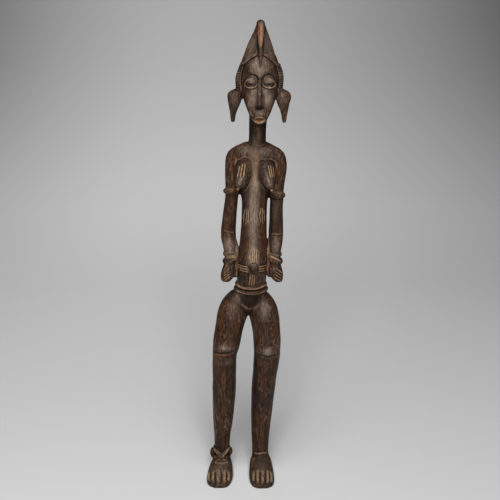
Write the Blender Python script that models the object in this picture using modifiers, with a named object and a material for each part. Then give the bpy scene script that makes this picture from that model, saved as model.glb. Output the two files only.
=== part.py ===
"""A standing woman carved from one piece of hardwood, in the manner of the northern Ivory Coast.

Metres, +Z up, the figure looking along -Y, with the soles on Z = 0 and the origin in the middle
of the figure's plan. The pose, proportions and carving are thousandths of the figure's height.
"""

import math

import bmesh
import bpy
import numpy as np
from mathutils import Matrix, Vector
from mathutils.bvhtree import BVHTree

# Driving dimensions
FIGURE_HEIGHT = 0.750
SCAR_WIDTH = 0.0034
SCAR_DEPTH = 0.0014
SCAR_PITCH = 0.0045
FINGER_CUT_WIDTH = 0.0036
FINGER_CUT_DEPTH = 0.0020
TOE_CUT_WIDTH = 0.0046
TOE_CUT_DEPTH = 0.0030
PLAIT_CUT_WIDTH = 0.0030
PLAIT_CUT_DEPTH = 0.0014
CLEFT_WIDTH = 0.0060
CLEFT_DEPTH = 0.0030
SPINE_WIDTH = 0.0110
SPINE_DEPTH = 0.0026
LIP_CUT_WIDTH = 0.0044
LIP_CUT_DEPTH = 0.0026
EYE_RIM_THICKNESS = 0.0030
HAIR_EDGE_THICKNESS = 0.0046
FACE_RIM_THICKNESS = 0.0040
ARM_BAND_THICKNESS = 0.0076
WRIST_BAND_THICKNESS = 0.0072
BELT_THICKNESS = 0.0054
BELT_PITCH = 0.0082
ANKLET_THICKNESS = 0.0070

# How finely the block is worked, and how many faces the finished solid has
ROUGH_GRAIN = 0.0018
FINE_GRAIN = 0.0011
TRIANGLES = 9400

SHARE = FIGURE_HEIGHT / 1000
SIDES = 32
SOLE_OVERCUT = 8
ANKLE_LEVEL = 70
FRONT = Vector((0, 1, 0))
BACK = Vector((0, -1, 0))
ABOVE = Vector((0, 0, -1))
LEFT = Vector((1, 0, 0))
RIGHT = Vector((-1, 0, 0))
WOOD = (0.060, 0.038, 0.026, 1.0)

# Stations of an upright form: height, centre x, centre y, half width, half depth
TORSO = (
    (378, 4, 10, 6, 14),
    (384, 4, 10, 24, 22),
    (392, 2, 10, 46, 29),
    (404, 1, 10, 54.4, 32),
    (417, 2, 9, 44.4, 31),
    (430, 5, 6, 33.6, 30),
    (444, 7, 2.5, 31, 29.5),
    (458, 9, -1, 31.5, 32.5),
    (475, 10, -4.5, 31.8, 36),
    (492, 10.5, -5.5, 31.5, 36.5),
    (515, 11.5, -2.5, 30, 33),
    (550, 13, 3, 28.5, 29),
    (590, 14, 7, 27, 27),
    (625, 15, 9, 27.5, 27),
    (650, 16, 10, 33, 28),
    (672, 17, 10, 46, 29),
    (692, 17.5, 10, 57, 28),
    (708, 17.5, 10, 62, 27),
    (720, 17.5, 9, 62, 26),
    (732, 17, 8, 54.5, 24),
    (741.5, 16.5, 7, 41, 20.5),
    (749, 18, 5, 24, 15),
)
NECK = (
    (735, 19.5, 4, 19.5, 20),
    (748, 20, 1, 18.4, 19),
    (768, 21, -4, 17.9, 18.5),
    (790, 21.5, -9, 18, 18),
    (812, 22.5, -10, 19, 20),
    (835, 23.5, -6, 20, 24),
)
SKULL = (
    (794, 24.5, -49, 6, 7),
    (799, 24.5, -46, 12, 13),
    (806, 24.5, -40, 17.5, 20.5),
    (815, 24.5, -32, 22.5, 26.5),
    (826, 24.5, -22, 27.5, 32),
    (838, 24.5, -13, 32, 37.5),
    (850, 24.7, -7, 35.8, 41.5),
    (864, 25, -4.5, 38, 44.5),
    (880, 25.2, -3, 39, 46.5),
    (895, 25.3, -3, 39.5, 48),
    (910, 25.3, -1.5, 38.5, 48),
    (924, 25.3, 1, 34.5, 45.5),
    (936, 25.3, 4, 27, 40),
    (946, 25.3, 6, 16, 30),
)
HAIR_ROOF = (
    (894, 25, 14, 36, 30),
    (903, 24.8, 11, 38.6, 37),
    (912, 24.7, 8.5, 37.2, 40.5),
    (922, 24.7, 6, 34.3, 42),
    (932, 24.8, 4, 31, 42.5),
    (944, 25.2, 2.5, 27, 40.5),
    (956, 25.6, 0.5, 22.3, 35.5),
    (968, 26.1, -2, 17.4, 29),
    (980, 26.6, -4, 12.2, 21.5),
    (990, 27, -5, 7.5, 14),
    (997, 27.2, -5, 3.5, 8),
)
LEFT_TRESS = (
    (863, -11, 1, 9.5, 8),
    (856, -19.5, 1, 15.2, 10.5),
    (848, -24.3, 1, 16.4, 12),
    (840, -25.2, 0.5, 15, 11.5),
    (830, -26.8, 0, 12.6, 10),
    (818, -28.1, -1, 8.6, 8),
    (806, -29.1, -2, 5.8, 6.5),
    (796, -29.5, -2.5, 4.6, 5),
    (790.5, -29.5, -2.5, 2.8, 3.2),
)
RIGHT_TRESS = (
    (862, 61, 1, 9.5, 8),
    (855, 69, 1, 15.4, 10.5),
    (847, 73.3, 1, 16.5, 12),
    (840, 74.2, 0.5, 15.6, 11.5),
    (830, 73.6, 0, 13, 10),
    (818, 75.1, -1, 9.2, 8),
    (806, 75.6, -2, 6.2, 6.5),
    (796, 75.6, -2.5, 5, 5),
    (788.5, 75.6, -2.5, 3, 3.2),
)
LEFT_ARM = (
    (716, -27, 10, 12, 13),
    (706, -30, 10, 16.5, 17.5),
    (682, -31, 10, 16, 17.5),
    (655, -31.5, 11, 15, 16),
    (629, -33.3, 13, 14, 14.8),
    (603, -36.2, 16, 14.6, 15),
    (577, -39.2, 18, 15.4, 16),
    (556, -40.6, 18, 16.1, 16.5),
    (540, -40, 13, 16.2, 16.5),
    (526, -38.2, 3, 14.2, 15),
    (513, -37.8, -7, 11.6, 12),
    (504, -38, -14, 10.2, 11),
)
RIGHT_ARM = (
    (716, 62, 10, 12, 13),
    (706, 65.3, 10, 16.8, 17.5),
    (682, 64.2, 10, 16.4, 17.5),
    (655, 62.3, 11, 14.7, 16),
    (629, 61.6, 13, 14.2, 14.8),
    (603, 61.2, 16, 14.2, 15),
    (577, 60.9, 18, 15, 16),
    (556, 60.6, 18, 15.7, 16.5),
    (540, 60.2, 13, 15.6, 16.5),
    (526, 59, 3, 14.3, 15),
    (513, 58.5, -7, 11.8, 12),
    (504, 58.5, -14, 10.4, 11),
)
LEFT_HAND = (
    (514, -38, -12, 10.2, 10),
    (502, -38, -18, 10.2, 10),
    (490, -38.6, -22, 12.6, 10),
    (478, -40, -25, 15.6, 10),
    (468, -42.2, -26, 14.6, 9),
    (460, -45, -27, 10.5, 7),
    (456.5, -46, -27, 7, 5),
)
RIGHT_HAND = (
    (514, 58.5, -12, 10.4, 10),
    (502, 58.8, -18, 10.4, 10),
    (490, 59.2, -22, 12.6, 10),
    (478, 60, -25, 15, 10),
    (468, 62, -26, 14, 9),
    (460, 65, -27, 10, 7),
    (456, 66.5, -27, 6.5, 5),
)
LEFT_LEG = (
    (40, -57.5, 11, 17.9, 18),
    (66, -57.1, 11, 17.1, 17),
    (81, -56.9, 12, 17.7, 18),
    (110, -55.3, 12, 20.9, 21.5),
    (153, -53.3, 11, 24.1, 25),
    (196, -51.5, 8, 25.8, 26.5),
    (238, -50.7, 4, 26.1, 26.5),
    (270, -50.5, -1, 26.3, 26.5),
    (288, -49.1, -4, 27.1, 27.5),
    (304, -46.5, -6, 29.1, 29.5),
    (322, -43.8, -3, 30.2, 29.5),
    (349, -38.7, 4, 30.6, 30.5),
    (374, -32.8, 10, 33, 32),
    (394, -27.6, 12.5, 32.6, 31),
    (412, -21, 12, 24, 24),
)
RIGHT_LEG = (
    (40, 28.3, 11, 18.4, 18),
    (66, 28.2, 11, 18.4, 17.5),
    (81, 28.3, 12, 19.5, 18.5),
    (110, 29.2, 12, 21.7, 21.5),
    (153, 31.3, 11, 24.3, 25),
    (196, 33.9, 8, 26.1, 26.5),
    (238, 37.6, 4, 27.4, 26.5),
    (266, 40.9, -1, 28.2, 26.5),
    (284, 42.3, -4, 28.9, 27.5),
    (298, 42.3, -6, 29.3, 29.5),
    (322, 42, -3, 29.9, 29.5),
    (349, 39.7, 4, 30.3, 30.5),
    (374, 35.7, 10, 32, 32),
    (394, 31, 12.5, 31, 31),
    (412, 24.5, 12, 24, 24),
)
# Stations of a foot: distance back from the origin, centre x, half width, height of the instep
LEFT_FOOT = (
    (36, -57, 10, 20),
    (28, -57, 16, 34),
    (12, -57.6, 20.5, 46),
    (-6, -58.8, 25, 41),
    (-20, -60, 28, 34),
    (-34, -61.2, 29, 27),
    (-46, -61.9, 28.3, 22),
    (-59, -62.8, 25.5, 18),
    (-69.5, -63, 20.5, 14),
    (-75.5, -63, 12, 10),
)
RIGHT_FOOT = (
    (36, 28, 10, 20),
    (28, 28, 16, 34),
    (12, 28.6, 21, 48),
    (-6, 29.2, 25, 44),
    (-20, 30.2, 28, 36),
    (-34, 31, 28.6, 28),
    (-46, 31.8, 28, 22.5),
    (-60, 32.4, 25.8, 18),
    (-71, 32.6, 21, 14),
    (-77, 32.6, 12.5, 10),
)


def hermite(stations, key, step):
    """The stations with more of them between, on a smooth curve, about a step apart."""
    rows = np.array(stations, float)
    at = np.abs(rows[:, key] - rows[0, key])
    slope = np.gradient(rows, at, axis=0)
    out = []
    for i in range(len(rows) - 1):
        gap = at[i + 1] - at[i]
        count = max(2, round(gap / step))
        for t in np.arange(count) / count:
            a, b = 2 * t**3 - 3 * t**2 + 1, 3 * t**2 - 2 * t**3
            c, d = t**3 - 2 * t**2 + t, t**3 - t**2
            out.append(a * rows[i] + b * rows[i + 1] + gap * (c * slope[i] + d * slope[i + 1]))
    out.append(rows[-1])
    return out


def ring_shape(squareness):
    """The corners of a unit ring, round at 2 and squarer above."""
    angles = [2 * math.pi * i / SIDES for i in range(SIDES)]
    power = 2 / squareness
    return [
        (
            math.copysign(abs(math.cos(a)) ** power, math.cos(a)),
            math.copysign(abs(math.sin(a)) ** power, math.sin(a)),
        )
        for a in angles
    ]


def tube(rings):
    """A closed tube through rings of points, in thousandths."""
    bm = bmesh.new()
    bmesh.ops.create_circle(bm, cap_ends=True, segments=SIDES, radius=1)
    bm.faces.ensure_lookup_table()
    face = bm.faces[0]
    for number, ring in enumerate(rings):
        if number:
            made = bmesh.ops.extrude_face_region(bm, geom=[face])["geom"]
            face = next(g for g in made if isinstance(g, bmesh.types.BMFace))
        for loop, point in zip(face.loops, ring):
            loop.vert.co = Vector(point) * SHARE
    bmesh.ops.recalc_face_normals(bm, faces=bm.faces)
    return bm


def upright(stations, squareness=2.0, step=5.0):
    """A form whose sections lie level."""
    shape = ring_shape(squareness)
    return tube(
        [(x + u * w, y + v * d, z) for u, v in shape]
        for z, x, y, w, d in hermite(stations, 0, step)
    )


def foot(stations):
    """A foot, whose sections stand across it, and which goes on below the sole until it is cut."""
    shape = ring_shape(2.3)
    rings = []
    for y, x, w, top in hermite(stations, 0, 4.0):
        half = (top + SOLE_OVERCUT) / 2
        rings.append([(x + u * w, y, top - half + v * half) for u, v in shape])
    return tube(rings)


def along(points, radii, squareness=2.0, step=3.0, flat=1.0, up=(0, 0, 1)):
    """A form that follows points, with one radius at each; flat thins it across up."""
    length = [0.0]
    for a, b in zip(points, points[1:]):
        length.append(length[-1] + (Vector(b) - Vector(a)).length)
    rows = [(s, *p, r) for s, p, r in zip(length, points, radii)]
    fine = hermite(rows, 0, step)
    shape = ring_shape(squareness)
    rings = []
    for i, row in enumerate(fine):
        before, after = fine[max(0, i - 1)], fine[min(len(fine) - 1, i + 1)]
        forward = Vector(after[1:4] - before[1:4]).normalized()
        side = forward.cross(Vector(up)).normalized()
        over = side.cross(forward)
        middle, radius = Vector(row[1:4]), row[4]
        rings.append([middle + side * (u * radius) + over * (v * radius * flat) for u, v in shape])
    return tube(rings)


def ball(centre, radii, turn=(0, 0, 0)):
    """An egg-shaped form."""
    bm = bmesh.new()
    bmesh.ops.create_uvsphere(bm, u_segments=28, v_segments=18, radius=1)
    spin = Matrix.Rotation(math.radians(turn[2]), 4, "Z")
    spin @= Matrix.Rotation(math.radians(turn[1]), 4, "Y")
    spin @= Matrix.Rotation(math.radians(turn[0]), 4, "X")
    place = Matrix.Translation(Vector(centre) * SHARE) @ spin
    bm.transform(place @ Matrix.Diagonal((*(Vector(radii) * SHARE), 1)))
    return bm


def band(centre, half_width, half_depth, thickness, tilt=(0, 0)):
    """A ring carved round a limb, with a round edge of the given thickness in metres."""
    bm = bmesh.new()
    around, across = 40, 10
    shape = bmesh.ops.create_circle(bm, segments=across, radius=thickness / 2)["verts"]
    bmesh.ops.rotate(bm, verts=shape, matrix=Matrix.Rotation(math.pi / 2, 3, "X"))
    bmesh.ops.translate(bm, verts=shape, vec=(1, 0, 0))
    bmesh.ops.spin(
        bm, geom=bm.edges[:], axis=(0, 0, 1), cent=(0, 0, 0), steps=around,
        angle=2 * math.pi, use_merge=True,
    )
    for vert in bm.verts:
        flat = vert.co.xy.length
        out = vert.co.xy / flat
        edge = Vector((out.x * half_width, out.y * half_depth)) * SHARE
        vert.co.xy = edge + out * (flat - 1)
    turn = Matrix.Rotation(math.radians(tilt[1]), 4, "Y") @ Matrix.Rotation(math.radians(tilt[0]), 4, "X")
    bm.transform(Matrix.Translation(Vector(centre) * SHARE) @ turn)
    bmesh.ops.recalc_face_normals(bm, faces=bm.faces)
    return bm


def joined(forms, name):
    """One mesh that holds all the forms, which may still overlap."""
    bm = bmesh.new()
    for form in forms:
        mesh = bpy.data.meshes.new("form")
        form.to_mesh(mesh)
        form.free()
        bm.from_mesh(mesh)
        bpy.data.meshes.remove(mesh)
    mesh = bpy.data.meshes.new(name)
    bm.to_mesh(mesh)
    bm.free()
    return mesh


def worked(mesh, grain, passes):
    """The mesh as one skin with cells of the given size, its steps and joins eased."""
    block = bpy.data.objects.new("block", mesh)
    bpy.context.scene.collection.objects.link(block)
    remesh = block.modifiers.new("one_skin", "REMESH")
    remesh.mode = "VOXEL"
    remesh.voxel_size = grain
    if passes:
        ease = block.modifiers.new("ease", "SMOOTH")
        ease.factor = 0.5
        ease.iterations = passes
    done = bpy.data.meshes.new_from_object(block.evaluated_get(bpy.context.evaluated_depsgraph_get()))
    bpy.data.objects.remove(block)
    bpy.data.meshes.remove(mesh)
    return done


def body_masses():
    """The big forms of the figure."""
    return [
        upright(TORSO, 2.15),
        upright(NECK),
        upright(SKULL, 2.15),
        upright(HAIR_ROOF, 1.9),
        upright(LEFT_TRESS),
        upright(RIGHT_TRESS),
        upright(LEFT_ARM),
        upright(RIGHT_ARM),
        upright(LEFT_HAND, 2.4),
        upright(RIGHT_HAND, 2.4),
        upright(LEFT_LEG, 2.1),
        upright(RIGHT_LEG, 2.1),
        foot(LEFT_FOOT),
        foot(RIGHT_FOOT),
        ball((-26, 22, 392), (27, 24, 27)),
        ball((28, 22, 392), (27, 24, 27)),
        along([(-5, -14, 716), (-7, -23, 700), (-9, -31, 686), (-14, -42, 674), (-18.5, -54, 666)],
              [11, 16.5, 18, 13.5, 7]),
        along([(37, -14, 716), (38.5, -23, 700), (40, -31, 684), (44.5, -42, 672), (48.5, -54, 664)],
              [11, 17, 18.5, 13.5, 7]),
    ]


def head_details():
    """The crest, the edge of the hair, the plaits, and the features of the face."""
    crest = [
        (26, -52, 909), (26.1, -48, 922), (26.1, -38, 940), (26.4, -22, 966), (26.9, -5, 990),
        (26.8, 10, 985), (26.5, 25, 966), (26, 40, 942), (25.8, 48, 915), (25.5, 45, 885), (25, 37, 862),
    ]
    crest_radii = [0.8, 2.6, 4.6, 7, 10, 9.5, 8, 6.5, 5.5, 5, 3]
    hair_edge = HAIR_EDGE_THICKNESS / 2 / SHARE
    face_rim = FACE_RIM_THICKNESS / 2 / SHARE
    forms = [
        along(crest, crest_radii, up=(1, 0, 0)),
        along([(25, -46, 882), (25, -44, 870), (25, -49, 856), (25, -55, 842), (25, -57, 834)],
              [3.6, 3.4, 3.5, 4.2, 5.2], up=(1, 0, 0)),
        ball((24.7, -56, 833.5), (8.6, 6.8, 6.2)),
        ball((24.2, -57, 805.5), (13, 8, 7.2)),
    ]
    for middle, outward in ((7.6, -1), (43.6, 1)):
        forms.append(ball((middle, -39.5, 877.5), (10.5, 6.5, 7.6)))
        forms.append(band((middle, -41.5, 877.5), 11.2, 8.4, EYE_RIM_THICKNESS, tilt=(90, outward * 14)))
    for edge, knob in (
        ([(20, -39.5, 938), (12, -42, 932), (2, -41.5, 923), (-8, -37, 915)], (-9.6, -34.5, 914)),
        ([(33, -39.5, 937), (41, -42, 930), (51, -41.5, 921), (59.5, -37, 912)], (61.2, -34.5, 911)),
    ):
        forms.append(along(edge, [hair_edge * share for share in (0.5, 1, 1, 1)]))
        forms.append(ball(knob, (3.6, 5, 4)))
    for rim, plait in (
        ([(-8, -36, 911), (-12.3, -30, 895), (-13.5, -23, 876), (-11.5, -12, 853)],
         [(-9.5, -30, 914), (-16.5, -22, 897), (-20.3, -13, 880), (-20.4, -6, 864)]),
        ([(60, -36, 908), (63, -30, 893), (63.6, -23, 876), (61.5, -12, 853)],
         [(61.5, -30, 911), (66.8, -22, 897), (68.7, -13, 880), (68.2, -6, 864)]),
    ):
        forms.append(along(rim, [face_rim] * 4))
        forms.append(along(plait, [4.2, 5.2, 5.4, 4.6], squareness=2.4))
    return forms


def body_details():
    """The nipples, navel, bands, belt and anklet, and the wood left between wrists and hips."""
    forms = [
        ball((-19.6, -59, 664.5), (4.4, 5.2, 4.4)),
        ball((49.8, -59, 662), (4.4, 5.2, 4.4)),
        ball((12.8, -48, 494), (9.4, 12, 9.6)),
        upright([(533, -23.5, 4, 3, 5), (520, -23, -2, 5.5, 8), (498, -23, -8, 6.5, 9),
                 (478, -24, -13, 6.5, 8), (464, -27, -16, 4, 5)]),
        upright([(537, 44.5, 4, 3, 5), (524, 44, -2, 5.5, 8), (500, 44, -8, 6.5, 9),
                 (480, 45, -13, 6.5, 8), (465, 48, -16, 4, 5)]),
        band((-33.8, 11.5, 644), 12.6, 14.4, ARM_BAND_THICKNESS, tilt=(0, 3)),
        band((62.2, 11.5, 636.5), 13.1, 14.4, ARM_BAND_THICKNESS, tilt=(2, 5)),
        band((-37.4, -17, 502), 11, 11, WRIST_BAND_THICKNESS, tilt=(14, -14)),
        band((-37.6, -9, 514), 12, 12.4, WRIST_BAND_THICKNESS / 2, tilt=(20, -2)),
        band((59.4, -17, 502), 11.4, 11, WRIST_BAND_THICKNESS, tilt=(14, 16)),
        band((58.6, -9, 513), 12, 12.4, WRIST_BAND_THICKNESS / 2, tilt=(20, 4)),
        band((-58, 9, 47), 18.6, 18.6, ANKLET_THICKNESS, tilt=(0, 33)),
        band((-58, 9, 47), 18.6, 18.6, ANKLET_THICKNESS, tilt=(0, -33)),
    ]
    pitch = BELT_PITCH / SHARE
    for below in (0, pitch):
        forms.append(band((7.3, 2.5, 443.5 - below), 30.4 + below / 4, 29.6 + below / 8, BELT_THICKNESS,
                          tilt=(2, 0)))
    return forms


def worn(mesh, move):
    """The mesh with every point shifted along Y by what move says of its place, in thousandths."""
    count = len(mesh.vertices)
    points = np.empty(count * 3)
    mesh.vertices.foreach_get("co", points)
    points = points.reshape(-1, 3)
    points[:, 1] += move(points / SHARE) * SHARE
    mesh.vertices.foreach_set("co", points.ravel())
    mesh.update()


def smooth_step(t):
    """0 below 0, 1 above 1, and an even slope between."""
    t = np.clip(t, 0, 1)
    return t * t * (3 - 2 * t)


def eye_sockets(points):
    """How far the face is hollowed under the two brow arches."""
    x, y, z = points.T
    depth = np.zeros(len(points))
    for middle in (8.0, 43.8):
        across = (x - middle) / 19
        under = np.where(z > 876, (z - 876) / 22.5, (z - 876) / 62)
        inside = 1 - np.hypot(across, under)
        fade = np.where(z > 876, 1, 1 - smooth_step((876 - z) / 58))
        depth = np.maximum(depth, 9.5 * smooth_step(inside / 0.16) * fade)
    return np.where(y < -12, depth, 0)


def fan(start, end, count, pitch=SCAR_PITCH, spread=1.0):
    """Side-by-side lines, the middle one from start to end, spread wider or closer at the end."""
    start, end = Vector(start), Vector(end)
    across = (end - start).orthogonal().normalized() * pitch / SHARE
    lines = []
    for i in range(count):
        offset = (i - (count - 1) / 2) * across
        lines.append([start + offset, end + offset * spread])
    return lines


def on_surface(tree, line, view):
    """Points along a line of plan coordinates, set on the first wood met when looking along view."""
    points = []
    for a, b in zip(line, line[1:]):
        a, b = Vector(a), Vector(b)
        count = max(2, round((b - a).length / 2))
        points += [a.lerp(b, i / count) for i in range(count)]
    points.append(Vector(line[-1]))
    found = []
    for p in points:
        if abs(view.z) > 0.5:
            start = Vector((p.x, p.y, ANKLE_LEVEL))
        elif abs(view.y) > 0.5:
            start = Vector((p.x, -view.y * 500, p.y))
        else:
            start = Vector((-view.x * 500, p.x, p.y))
        hit = tree.ray_cast(start * SHARE, view)[0]
        if hit is not None:
            found.append(hit)
    return np.array(found)


def carve(mesh, cuts):
    """Round-bottomed cuts, each given as its lines, width, depth and the way its side is looked at."""
    tree = BVHTree.FromPolygons(
        [v.co for v in mesh.vertices], [tuple(p.vertices) for p in mesh.polygons]
    )
    count = len(mesh.vertices)
    points, normals = np.empty(count * 3), np.empty(count * 3)
    mesh.vertices.foreach_get("co", points)
    mesh.vertex_normals.foreach_get("vector", normals)
    points, normals = points.reshape(-1, 3), normals.reshape(-1, 3)
    sunk = np.zeros(count)
    for lines, width, depth, view in cuts:
        facing = normals @ np.array(view) < -0.15
        for line in lines:
            path = on_surface(tree, line, view)
            if len(path) < 2:
                continue
            low, high = path.min(0) - width, path.max(0) + width
            chosen = np.nonzero(facing & np.all((points > low) & (points < high), axis=1))[0]
            here = points[chosen]
            away = np.full(len(chosen), np.inf)
            for a, b in zip(path, path[1:]):
                run = b - a
                t = np.clip((here - a) @ run / max(run @ run, 1e-12), 0, 1)
                away = np.minimum(away, np.linalg.norm(here - a - t[:, None] * run, axis=1))
            ends = np.minimum(*(np.linalg.norm(here - end, axis=1) for end in (path[0], path[-1])))
            taper = np.clip(0.4 + ends / width, 0, 1)
            sunk[chosen] = np.maximum(sunk[chosen], depth * taper * smooth_step(1 - 2 * away / width))
    mesh.vertices.foreach_set("co", (points - normals * sunk[:, None]).ravel())
    mesh.update()


def scars():
    """Groups of lines cut round the navel, on the breasts and on the flanks, seen from the front."""
    lines = fan((14, 532), (14, 506), 4)
    lines += fan((8.5, 479), (8.5, 452), 3)
    lines += fan((-1, 492), (-18, 491), 3)
    lines += fan((26, 491), (39, 490), 3)
    lines += fan((-6.5, 708), (-11, 685), 3, spread=0.8)
    lines += fan((48.5, 705), (51.5, 684), 3, spread=0.8)
    lines += fan((-1, 613), (-4, 584), 3, spread=0.7)
    lines += fan((29.5, 616), (31.5, 584), 3, spread=0.7)
    return lines


def fingers():
    """Cuts between the fingers of both hands, seen from the front."""
    left = [[(-38 - i, 486 - 6.2 * i), (-53 - 0.6 * i, 478 - 6.4 * i)] for i in range(4)]
    right = [[(60 - i, 488 - 6.2 * i), (75 - 1.6 * i, 478 - 6.4 * i)] for i in range(4)]
    return left + right


def toes():
    """Cuts between the toes of both feet, seen from above."""
    return [[(x, -45), (x, -78)] for x in (-80, -71, -57.5, -43.5, 17.5, 27.5, 40, 48.5)]


def plait_cuts():
    """Slanting cuts across a plait, seen from the side."""
    lines = []
    for i in range(8):
        y, z = -30 + 3.1 * i, 911 - 6.4 * i
        lines.append([(y - 6, z + 3), (y + 6, z - 4)])
    return lines


def cuts():
    """Everything that is cut into the wood after its forms are joined."""
    mouth = [[(14, 807.5), (34.5, 807.5)]]
    eyes = [[(0.5, 874.5), (14.5, 874.5)], [(37, 874.5), (51, 874)]]
    beside_crest = [[(18.5, 966), (19, 950), (20.5, 940)], [(34.5, 966), (34, 950), (32, 940)]]
    under_belt = [[(-17, 423), (5.5, 401), (27.5, 422)]]
    knees = [[(-60, 297), (-38, 297)], [(30, 293), (52, 293)]]
    spine = [[(16, 690), (15, 620), (11, 540), (8, 470)]]
    seat = [[(1, 412), (1, 372)]]
    return [
        (scars(), SCAR_WIDTH, SCAR_DEPTH, FRONT),
        (fingers(), FINGER_CUT_WIDTH, FINGER_CUT_DEPTH, FRONT),
        (toes(), TOE_CUT_WIDTH, TOE_CUT_DEPTH, ABOVE),
        (mouth + eyes, LIP_CUT_WIDTH, LIP_CUT_DEPTH, FRONT),
        (beside_crest + knees, CLEFT_WIDTH, CLEFT_DEPTH, FRONT),
        (under_belt, SCAR_WIDTH, SCAR_DEPTH, FRONT),
        (spine + seat, SPINE_WIDTH, SPINE_DEPTH, BACK),
        (plait_cuts(), PLAIT_CUT_WIDTH, PLAIT_CUT_DEPTH, LEFT),
        (plait_cuts(), PLAIT_CUT_WIDTH, PLAIT_CUT_DEPTH, RIGHT),
    ]


def largest_skin(bm):
    """Leave only the outer skin, without the bubbles that joining forms can shut inside."""
    left = set(bm.verts)
    skins = []
    while left:
        edge_of_skin = [left.pop()]
        skin = list(edge_of_skin)
        while edge_of_skin:
            near = {e.other_vert(v) for v in edge_of_skin for e in v.link_edges} & left
            left -= near
            edge_of_skin = list(near)
            skin += edge_of_skin
        skins.append(skin)
    skins.sort(key=len)
    for skin in skins[:-1]:
        bmesh.ops.delete(bm, geom=skin, context="VERTS")


def flat_soled(mesh):
    """The mesh cut off level at the ground, with both soles closed by flat faces."""
    bm = bmesh.new()
    bm.from_mesh(mesh)
    largest_skin(bm)
    bmesh.ops.bisect_plane(
        bm, geom=bm.verts[:] + bm.edges[:] + bm.faces[:], dist=1e-6,
        plane_co=(0, 0, 0), plane_no=(0, 0, 1), clear_inner=True,
    )
    bmesh.ops.holes_fill(bm, edges=[e for e in bm.edges if e.is_boundary], sides=0)
    bmesh.ops.triangulate(bm, faces=[f for f in bm.faces if len(f.verts) > 3])
    corners = [v.co for v in bm.verts]
    middle_x = (min(c.x for c in corners) + max(c.x for c in corners)) / 2
    middle_y = (min(c.y for c in corners) + max(c.y for c in corners)) / 2
    bmesh.ops.translate(bm, verts=bm.verts, vec=(-middle_x, -middle_y, 0))
    bm.to_mesh(mesh)
    bm.free()


def fewer_faces(mesh, count):
    """The mesh with about count triangles, kept where the form bends most."""
    block = bpy.data.objects.new("block", mesh)
    bpy.context.scene.collection.objects.link(block)
    corners = block.modifiers.new("three_sided", "TRIANGULATE")
    corners.quad_method = "FIXED"
    reduce = block.modifiers.new("fewer_faces", "DECIMATE")
    reduce.ratio = count / (2 * len(mesh.polygons))
    done = bpy.data.meshes.new_from_object(block.evaluated_get(bpy.context.evaluated_depsgraph_get()))
    bpy.data.objects.remove(block)
    bpy.data.meshes.remove(mesh)
    return done


def wood():
    """Dark hardwood with a worn, softly shining skin."""
    material = bpy.data.materials.new("dark_hardwood")
    material.use_nodes = True
    shader = material.node_tree.nodes["Principled BSDF"]
    shader.inputs["Base Color"].default_value = WOOD
    shader.inputs["Roughness"].default_value = 0.45
    shader.inputs["Metallic"].default_value = 0.0
    return material


def carved_figure():
    """The whole figure as one solid."""
    masses = worked(joined(body_masses(), "masses"), ROUGH_GRAIN, 5)
    worn(masses, eye_sockets)
    forms = joined(head_details() + body_details(), "details")
    both = bmesh.new()
    both.from_mesh(masses)
    both.from_mesh(forms)
    both.to_mesh(masses)
    both.free()
    bpy.data.meshes.remove(forms)
    mesh = worked(masses, FINE_GRAIN, 1)
    carve(mesh, cuts())
    mesh = fewer_faces(mesh, TRIANGLES)
    flat_soled(mesh)
    mesh.name = "carved_figure"
    mesh.materials.append(wood())
    return mesh


def main():
    for old in list(bpy.data.objects):
        bpy.data.objects.remove(old)
    statuette = bpy.data.collections.new("senufo_statuette")
    bpy.context.scene.collection.children.link(statuette)
    figure = bpy.data.objects.new("carved_figure", carved_figure())
    statuette.objects.link(figure)
    figure.data.shade_smooth()
    figure.data.set_sharp_from_angle(angle=math.radians(60))


main()
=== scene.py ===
"""A standing woman carved from one block of dark hardwood, in a plain pale studio.

Metres, +Z up, the figure looking along -Y with its soles on Z = 0. Its forms and marks are placed in
thousandths of its height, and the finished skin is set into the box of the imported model.
"""

import logging
import math
from dataclasses import dataclass
from enum import Enum
from typing import Callable, Iterable, Sequence

import bmesh
import bpy
import numpy as np
from mathutils import Matrix, Vector
from mathutils.bvhtree import BVHTree


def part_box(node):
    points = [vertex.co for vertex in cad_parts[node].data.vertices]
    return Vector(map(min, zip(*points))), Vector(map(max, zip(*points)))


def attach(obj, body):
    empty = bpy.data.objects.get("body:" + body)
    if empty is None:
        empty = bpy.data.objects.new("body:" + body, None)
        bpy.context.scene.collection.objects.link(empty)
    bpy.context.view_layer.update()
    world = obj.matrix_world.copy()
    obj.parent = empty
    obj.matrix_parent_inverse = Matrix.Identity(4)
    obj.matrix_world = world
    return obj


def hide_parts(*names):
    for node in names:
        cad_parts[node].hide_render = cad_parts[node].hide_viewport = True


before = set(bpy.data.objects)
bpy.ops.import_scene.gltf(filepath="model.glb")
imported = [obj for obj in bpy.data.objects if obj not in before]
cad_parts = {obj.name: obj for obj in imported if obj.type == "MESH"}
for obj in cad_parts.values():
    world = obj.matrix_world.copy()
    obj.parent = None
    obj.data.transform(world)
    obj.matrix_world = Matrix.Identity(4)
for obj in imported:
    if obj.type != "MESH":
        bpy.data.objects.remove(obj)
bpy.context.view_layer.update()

log = logging.getLogger("statuette")

Point = tuple[float, float, float]
Plan = tuple[float, float]
Station = tuple[float, ...]
Colour = tuple[float, float, float, float]

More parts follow.
